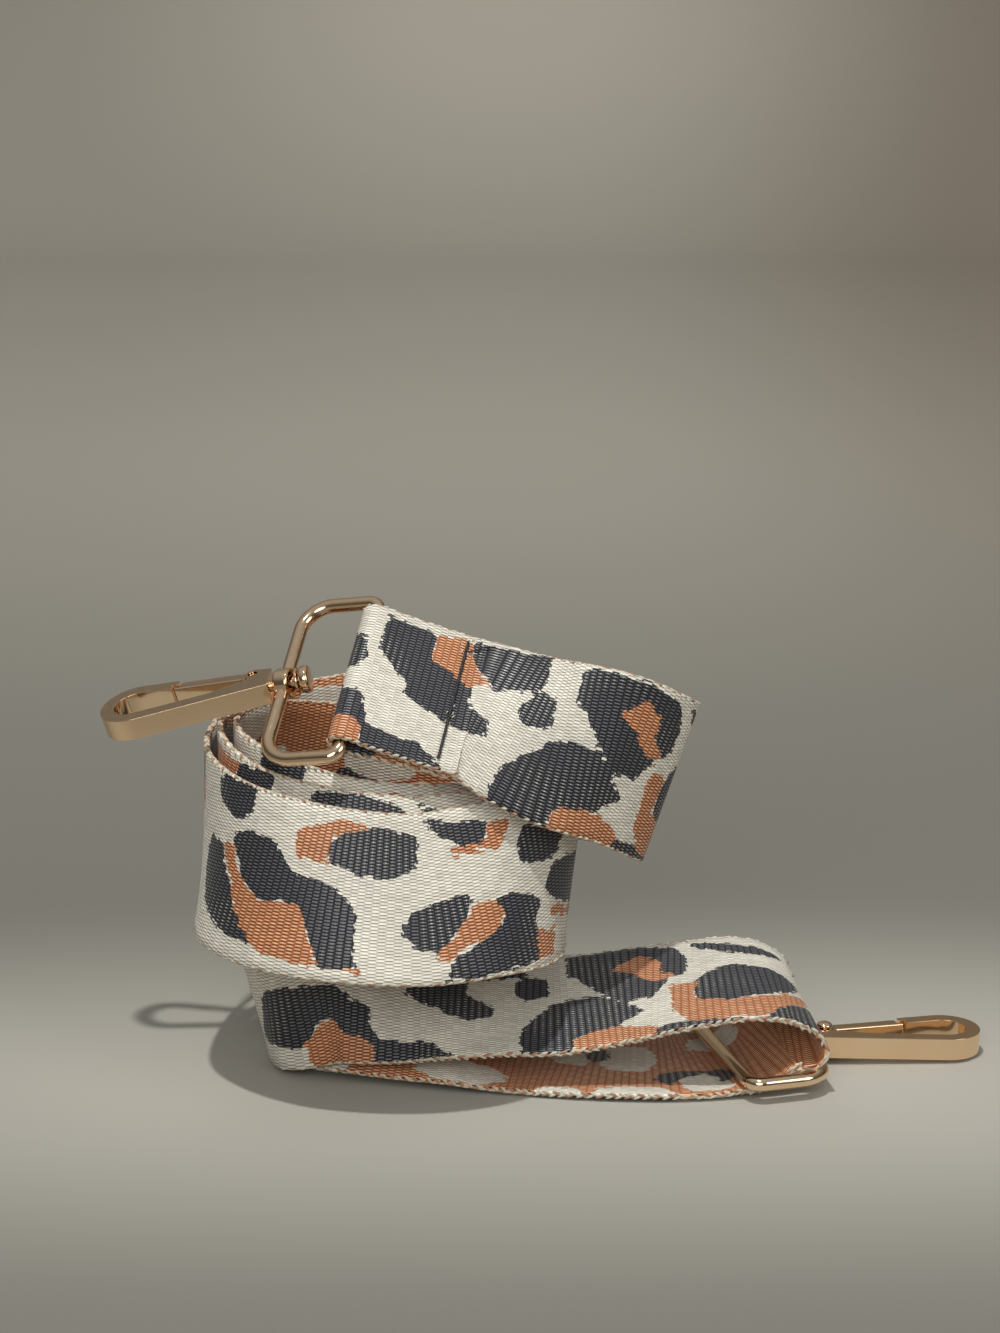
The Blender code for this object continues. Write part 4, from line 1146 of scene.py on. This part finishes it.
def stitchTree():
    # one arched stitch per point, laid along the stored direction
    sizes = {"Stitch Length": 3 * mm, "Stitch Rise": 0.2 * mm, "Thread Radius": 0.2 * mm}
    tree, given = geometryTree("lockStitches", sizes)
    bow = tree.nodes.new("GeometryNodeCurveQuadraticBezier")
    bow.inputs["Resolution"].default_value = seam["archSteps"]
    for name, share, rise in (("Start", -0.5, 0.0), ("Middle", 0.0, 2.0), ("End", 0.5, 0.0)):
        spot = tree.nodes.new("ShaderNodeCombineXYZ")
        feed(tree, spot.inputs[0], calc(tree, "MULTIPLY", given["Stitch Length"], share))
        feed(tree, spot.inputs[2], calc(tree, "MULTIPLY", given["Stitch Rise"], rise))
        tree.links.new(spot.outputs[0], bow.inputs[name])
    circle = tree.nodes.new("GeometryNodeCurvePrimitiveCircle")
    circle.inputs["Resolution"].default_value = seam["sides"]
    tree.links.new(given["Thread Radius"], circle.inputs["Radius"])
    tube = tree.nodes.new("GeometryNodeCurveToMesh")
    tube.inputs["Fill Caps"].default_value = True
    tree.links.new(bow.outputs[0], tube.inputs["Curve"])
    tree.links.new(circle.outputs[0], tube.inputs["Profile Curve"])
    laid = addNode(tree, "FunctionNodeAlignRotationToVector", axis="X", pivot_axis="AUTO")
    tree.links.new(storedVector(tree, "direction"), laid.inputs["Vector"])
    turn = addNode(tree, "FunctionNodeAlignRotationToVector", axis="Z", pivot_axis="X")
    tree.links.new(storedVector(tree, "rise"), turn.inputs["Vector"])
    tree.links.new(laid.outputs[0], turn.inputs["Rotation"])
    inputs = {"Instance": tube.outputs[0], "Rotation": turn.outputs[0]}
    copyOnPoints(tree, given["Geometry"], inputs, threadMaterial)
    return tree


def threadLine(node):
    # the CAD thread's two ends, and the way that the cloth under it faces
    points = np.array([list(v.co) for v in frame["nodes"][node].data.vertices])
    middle = points.mean(0)
    _, _, directions = np.linalg.svd(points - middle, full_matrices=False)
    along = directions[0] * np.sign(directions[0][2] or 1)
    spread = (points - middle) @ along
    under = np.linalg.norm(route.centres - middle, axis=1).argmin()
    facing = route.at(route.knots[under])[3][0]
    facing *= np.sign(facing @ (middle - route.centres[under]))
    return Vector(middle + along * spread.min()), Vector(middle + along * spread.max()), Vector(facing)


def makeSeam(node, name, tree):
    low, high, rise = threadLine(node)
    step = (high - low) / seam["stitches"]
    points = [low + step * (i + 0.5) for i in range(seam["stitches"])]
    piece = addPoints(name, points, direction=[list(step)] * len(points), rise=[list(rise)] * len(points))
    runTree(piece, tree, {"Stitch Length": step.length * seam["fillShare"], "Stitch Rise": seam["stitchRise"],
                          "Thread Radius": seam["threadRadius"]})
    ready(piece, "strap", "black_thread", node)
    return high


stitches = stitchTree()
for end in ("fold", "slider"):
    for label, thread in (("NeedleThread", "needle"), ("BobbinThread", "bobbin")):
        seamTop = makeSeam(f"{end}_seam_{thread}_thread", end + label, stitches)
        if end == "fold" and thread == "needle":
            threadEnd = seamTop


def seamPlace(point):
    # where on the band the point lies: run length, width, and which face it is on
    places = np.arange(0, seam["searchLength"], seam["searchStep"])
    middle, run, across, outward = route.at(places)
    offset = np.array(point) - middle
    width = (offset * across).sum(1)
    nearest = np.linalg.norm(offset - across * width[:, None], axis=1).argmin()
    side = 1 if offset[nearest] @ outward[nearest] > 0 else -1
    return places[nearest], width[nearest], side


def onCloth(along, width, side, height):
    middle, run, across, outward = [rows[0] for rows in route.at(along)]
    return Vector(middle + across * width + outward * side * (webbing["halfThickness"] + height))


def makeThreadTail(top):
    # the needle thread's cut end, lying over the cloth up to the band's upper edge
    along, width, side = seamPlace(top)
    way = 1 if onCloth(along + mm, width, side, 0).x > onCloth(along, width, side, 0).x else -1
    path = []
    for i in range(seam["tailSteps"] + 1):
        t = i / seam["tailSteps"]
        inward = math.copysign(seam["tailDrop"] * (1 - t), width)
        height = seam["tailHeight"] + seam["tailLift"] * t
        path.append(onCloth(along + way * seam["tailLength"] * t, width - inward, side, height))
    piece = addThreads("needleThreadTail", [path], seam["tailRadius"], seam["sides"], threadMaterial)
    ready(piece, "strap", "black_thread")


def makePulledFibres(top):
    # pale fibres that the needle pulled out along the seam
    dice = np.random.default_rng(seam["fibreSeed"])
    along, _, side = seamPlace(top)
    paths = []
    for _ in range(seam["fibres"]):
        start = along + dice.uniform(-1, 1) * seam["fibreSpread"]
        width = dice.uniform(-0.95, 0.95) * webbing["halfWidth"]
        lean = dice.uniform(-1, 1) * seam["fibreLean"]
        paths.append([onCloth(start + lean * t, width + seam["fibreLength"] * t, side, height * mm)
                      for t, height in seam["fibreArch"]])
    piece = addThreads("seamPulledFibres", paths, seam["fibreRadius"], seam["fibreSides"], fibreMaterial)
    ready(piece, "strap", "webbing_cream")
    return piece


makeThreadTail(threadEnd)
pulledFibres = makePulledFibres(threadEnd)
print("seams made")


# Cut ends: short loose fibres where the band was cut

fray = {
    "count": 46, "length": 1.7 * mm, "radius": 0.09 * mm, "sides": 5, "seed": 11,
    "shortestShare": 0.4, "leanShare": 0.35, "layerShare": 0.8, "stations": (-0.3, 0.2, 0.6, 1.0),
}


def makeFray(name, at, away):
    dice = np.random.default_rng(fray["seed"])
    middle, run, across, outward = [rows[0] for rows in route.at(at)]
    forward, sideways = Vector(run) * away, Vector(across)
    paths = []
    for _ in range(fray["count"]):
        width = dice.uniform(-1, 1) * webbing["halfWidth"]
        layer = dice.uniform(-1, 1) * fray["layerShare"] * webbing["halfThickness"]
        length = fray["length"] * dice.uniform(fray["shortestShare"], 1.0)
        lean = dice.uniform(-1, 1) * fray["leanShare"]
        root = Vector(middle + across * width + outward * layer)
        paths.append([root + forward * (length * t) + sideways * (length * lean * t * t)
                      for t in fray["stations"]])
    piece = addThreads(name, paths, fray["radius"], fray["sides"], fibreMaterial)
    ready(piece, "strap", "webbing_cream")
    return piece


tailFray = makeFray("foldTailFray", 0, -1)
sliderFray = makeFray("sliderTailFray", route.length, 1)
print("cut ends made")


# Stage: a pale floor that sweeps up into a backdrop

stage = {
    "halfWidth": 4.5, "front": -4.5, "bend": 1.1, "bendRadius": 0.2, "height": 0.9, "steps": 24,
    # the paper's colours hold painted light: a pool of painted light round the object, painted shade around
    # it, paper paler far off to make up for the lamps' falloff, painted shade on the backdrop's east side,
    # and a painted patch of light on the backdrop
    "floorLitColour": (183, 180, 170), "floorShade": (123, 121, 113), "aroundColour": (150, 147, 138),
    "backColour": (166, 162, 151), "warmShadeColour": (150, 141, 128), "wallLitColour": (200, 195, 182),
    # middle and reach of each pool of painted light: on the floor to the east and north, on the wall to the
    # east and up
    "floorLightPool": ((0.02, 0.42), (-0.02, 0.135)), "wallLightPool": ((0.0, 0.3), (0.14, 0.2)),
    # where the paper's other colours set in and where they are full; the east side's colour is painted shade
    "beside": (0.3, 1.2), "before": (-0.3, -1.2), "behind": (0.12, 0.7), "warmShadeSide": (0.02, 0.26),
    "roughness": 0.85, "grainScale": 900, "grain": 0.05 * mm, "grainStrength": 0.15,
}


def paintedLightPool(tree, sockets, pool):
    # 1 in the middle of a soft oval pool of painted light on the paper, 0 beyond it
    squares = [calc(tree, "POWER", calc(tree, "DIVIDE", calc(tree, "SUBTRACT", socket, middle), reach), 2)
               for socket, (middle, reach) in zip(sockets, pool)]
    return ramp(tree, calc(tree, "SQRT", calc(tree, "ADD", *squares)), 1.0, 0.0)


def makePaper():
    material, tree, shader = newMaterial("studioPaper", stage["roughness"])
    east, north, up = splitVector(tree, addNode(tree, "ShaderNodeTexCoord").outputs["Object"])
    floor, shade, around, back, warmShade, wall = [
        colour(*stage[name]) for name in
        ("floorLitColour", "floorShade", "aroundColour", "backColour", "warmShadeColour", "wallLitColour")]
    # painted shade near the object gives way to paler paper far off, the far paper has painted shade on its
    # east side and a painted patch of light on the backdrop, and a pool of painted light lies round the
    # object
    beside = ramp(tree, calc(tree, "ABSOLUTE", east), *stage["beside"])
    before = ramp(tree, north, *stage["before"])
    surround = mixColours(tree, calc(tree, "MAXIMUM", beside, before), shade, around)
    far = mixColours(tree, ramp(tree, east, *stage["warmShadeSide"]), back, warmShade)
    far = mixColours(tree, paintedLightPool(tree, (east, up), stage["wallLightPool"]), far, wall)
    surround = mixColours(tree, ramp(tree, north, *stage["behind"]), surround, far)
    paper = mixColours(tree, paintedLightPool(tree, (east, north), stage["floorLightPool"]), surround, floor)
    tree.links.new(paper, shader.inputs["Base Color"])
    addBump(tree, shader, noise(tree, stage["grainScale"]), stage["grain"], stage["grainStrength"])
    return material


def makeStage():
    profile = [(stage["front"], 0)]
    for i in range(stage["steps"] + 1):
        turn = math.pi / 2 * i / stage["steps"]
        profile.append((stage["bend"] + stage["bendRadius"] * math.sin(turn),
                        stage["bendRadius"] * (1 - math.cos(turn))))
    profile.append((stage["bend"] + stage["bendRadius"], stage["height"]))
    vertices = [Vector((x, y, z)) for y, z in profile for x in (-stage["halfWidth"], stage["halfWidth"])]
    faces = [(2 * i, 2 * i + 1, 2 * i + 3, 2 * i + 2) for i in range(len(profile) - 1)]
    mesh = bpy.data.meshes.new("studioSweep")
    mesh.from_pydata(vertices, [], faces)
    mesh.shade_smooth()
    mesh.materials.append(makePaper())
    sweep = bpy.data.objects.new("studioSweep", mesh)
    scene.collection.objects.link(sweep)


# each lamp: the way to it, its distance, diameter, power and colour
lights = {
    "key": ((-9, -16, 77), 1.5, 0.06, 12.5, (1.0, 0.985, 0.955)),
    "front": ((-14, -70, 34), 1.6, 1.0, 6.5, (1.0, 0.99, 0.97)),
    "fill": ((60, -45, 42), 1.6, 0.9, 5.0, (1.0, 0.99, 0.97)),
    "back": ((-20, 60, 50), 1.6, 1.0, 2.5, (1.0, 0.99, 0.97)),
}
lightsCentre = Vector((0, 0, 0.04))
world = {"horizon": (0.26, 0.24, 0.21, 1.0), "top": (1.0, 1.0, 1.0, 1.0), "ceiling": (0.3, 0.9),
         "strength": 0.34}


def makeLights():
    for name, (way, distance, size, power, tint) in lights.items():
        lamp = bpy.data.lights.new(name, "AREA")
        lamp.shape = "DISK"
        lamp.size = size
        lamp.energy = power
        lamp.color = tint
        item = bpy.data.objects.new(name, lamp)
        toward = Vector(way).normalized()
        item.location = lightsCentre + toward * distance
        item.rotation_euler = toward.to_track_quat("Z", "Y").to_euler()
        # no mirror image of the lamp behind on the hooks' flat tops
        item.visible_glossy = name != "back"
        scene.collection.objects.link(item)
    scene.world = scene.world or bpy.data.worlds.new("studio")
    scene.world.use_nodes = True
    # a dark horizon under a pale ceiling
    tree = scene.world.node_tree
    up = splitVector(tree, addNode(tree, "ShaderNodeTexCoord").outputs["Generated"])[2]
    height = ramp(tree, up, *world["ceiling"])
    background = tree.nodes["Background"]
    tree.links.new(mixColours(tree, height, world["horizon"], world["top"]), background.inputs["Color"])
    background.inputs["Strength"].default_value = world["strength"]


makeStage()
makeLights()
scene.view_settings.view_transform = "Standard"
print("stage and lights set")
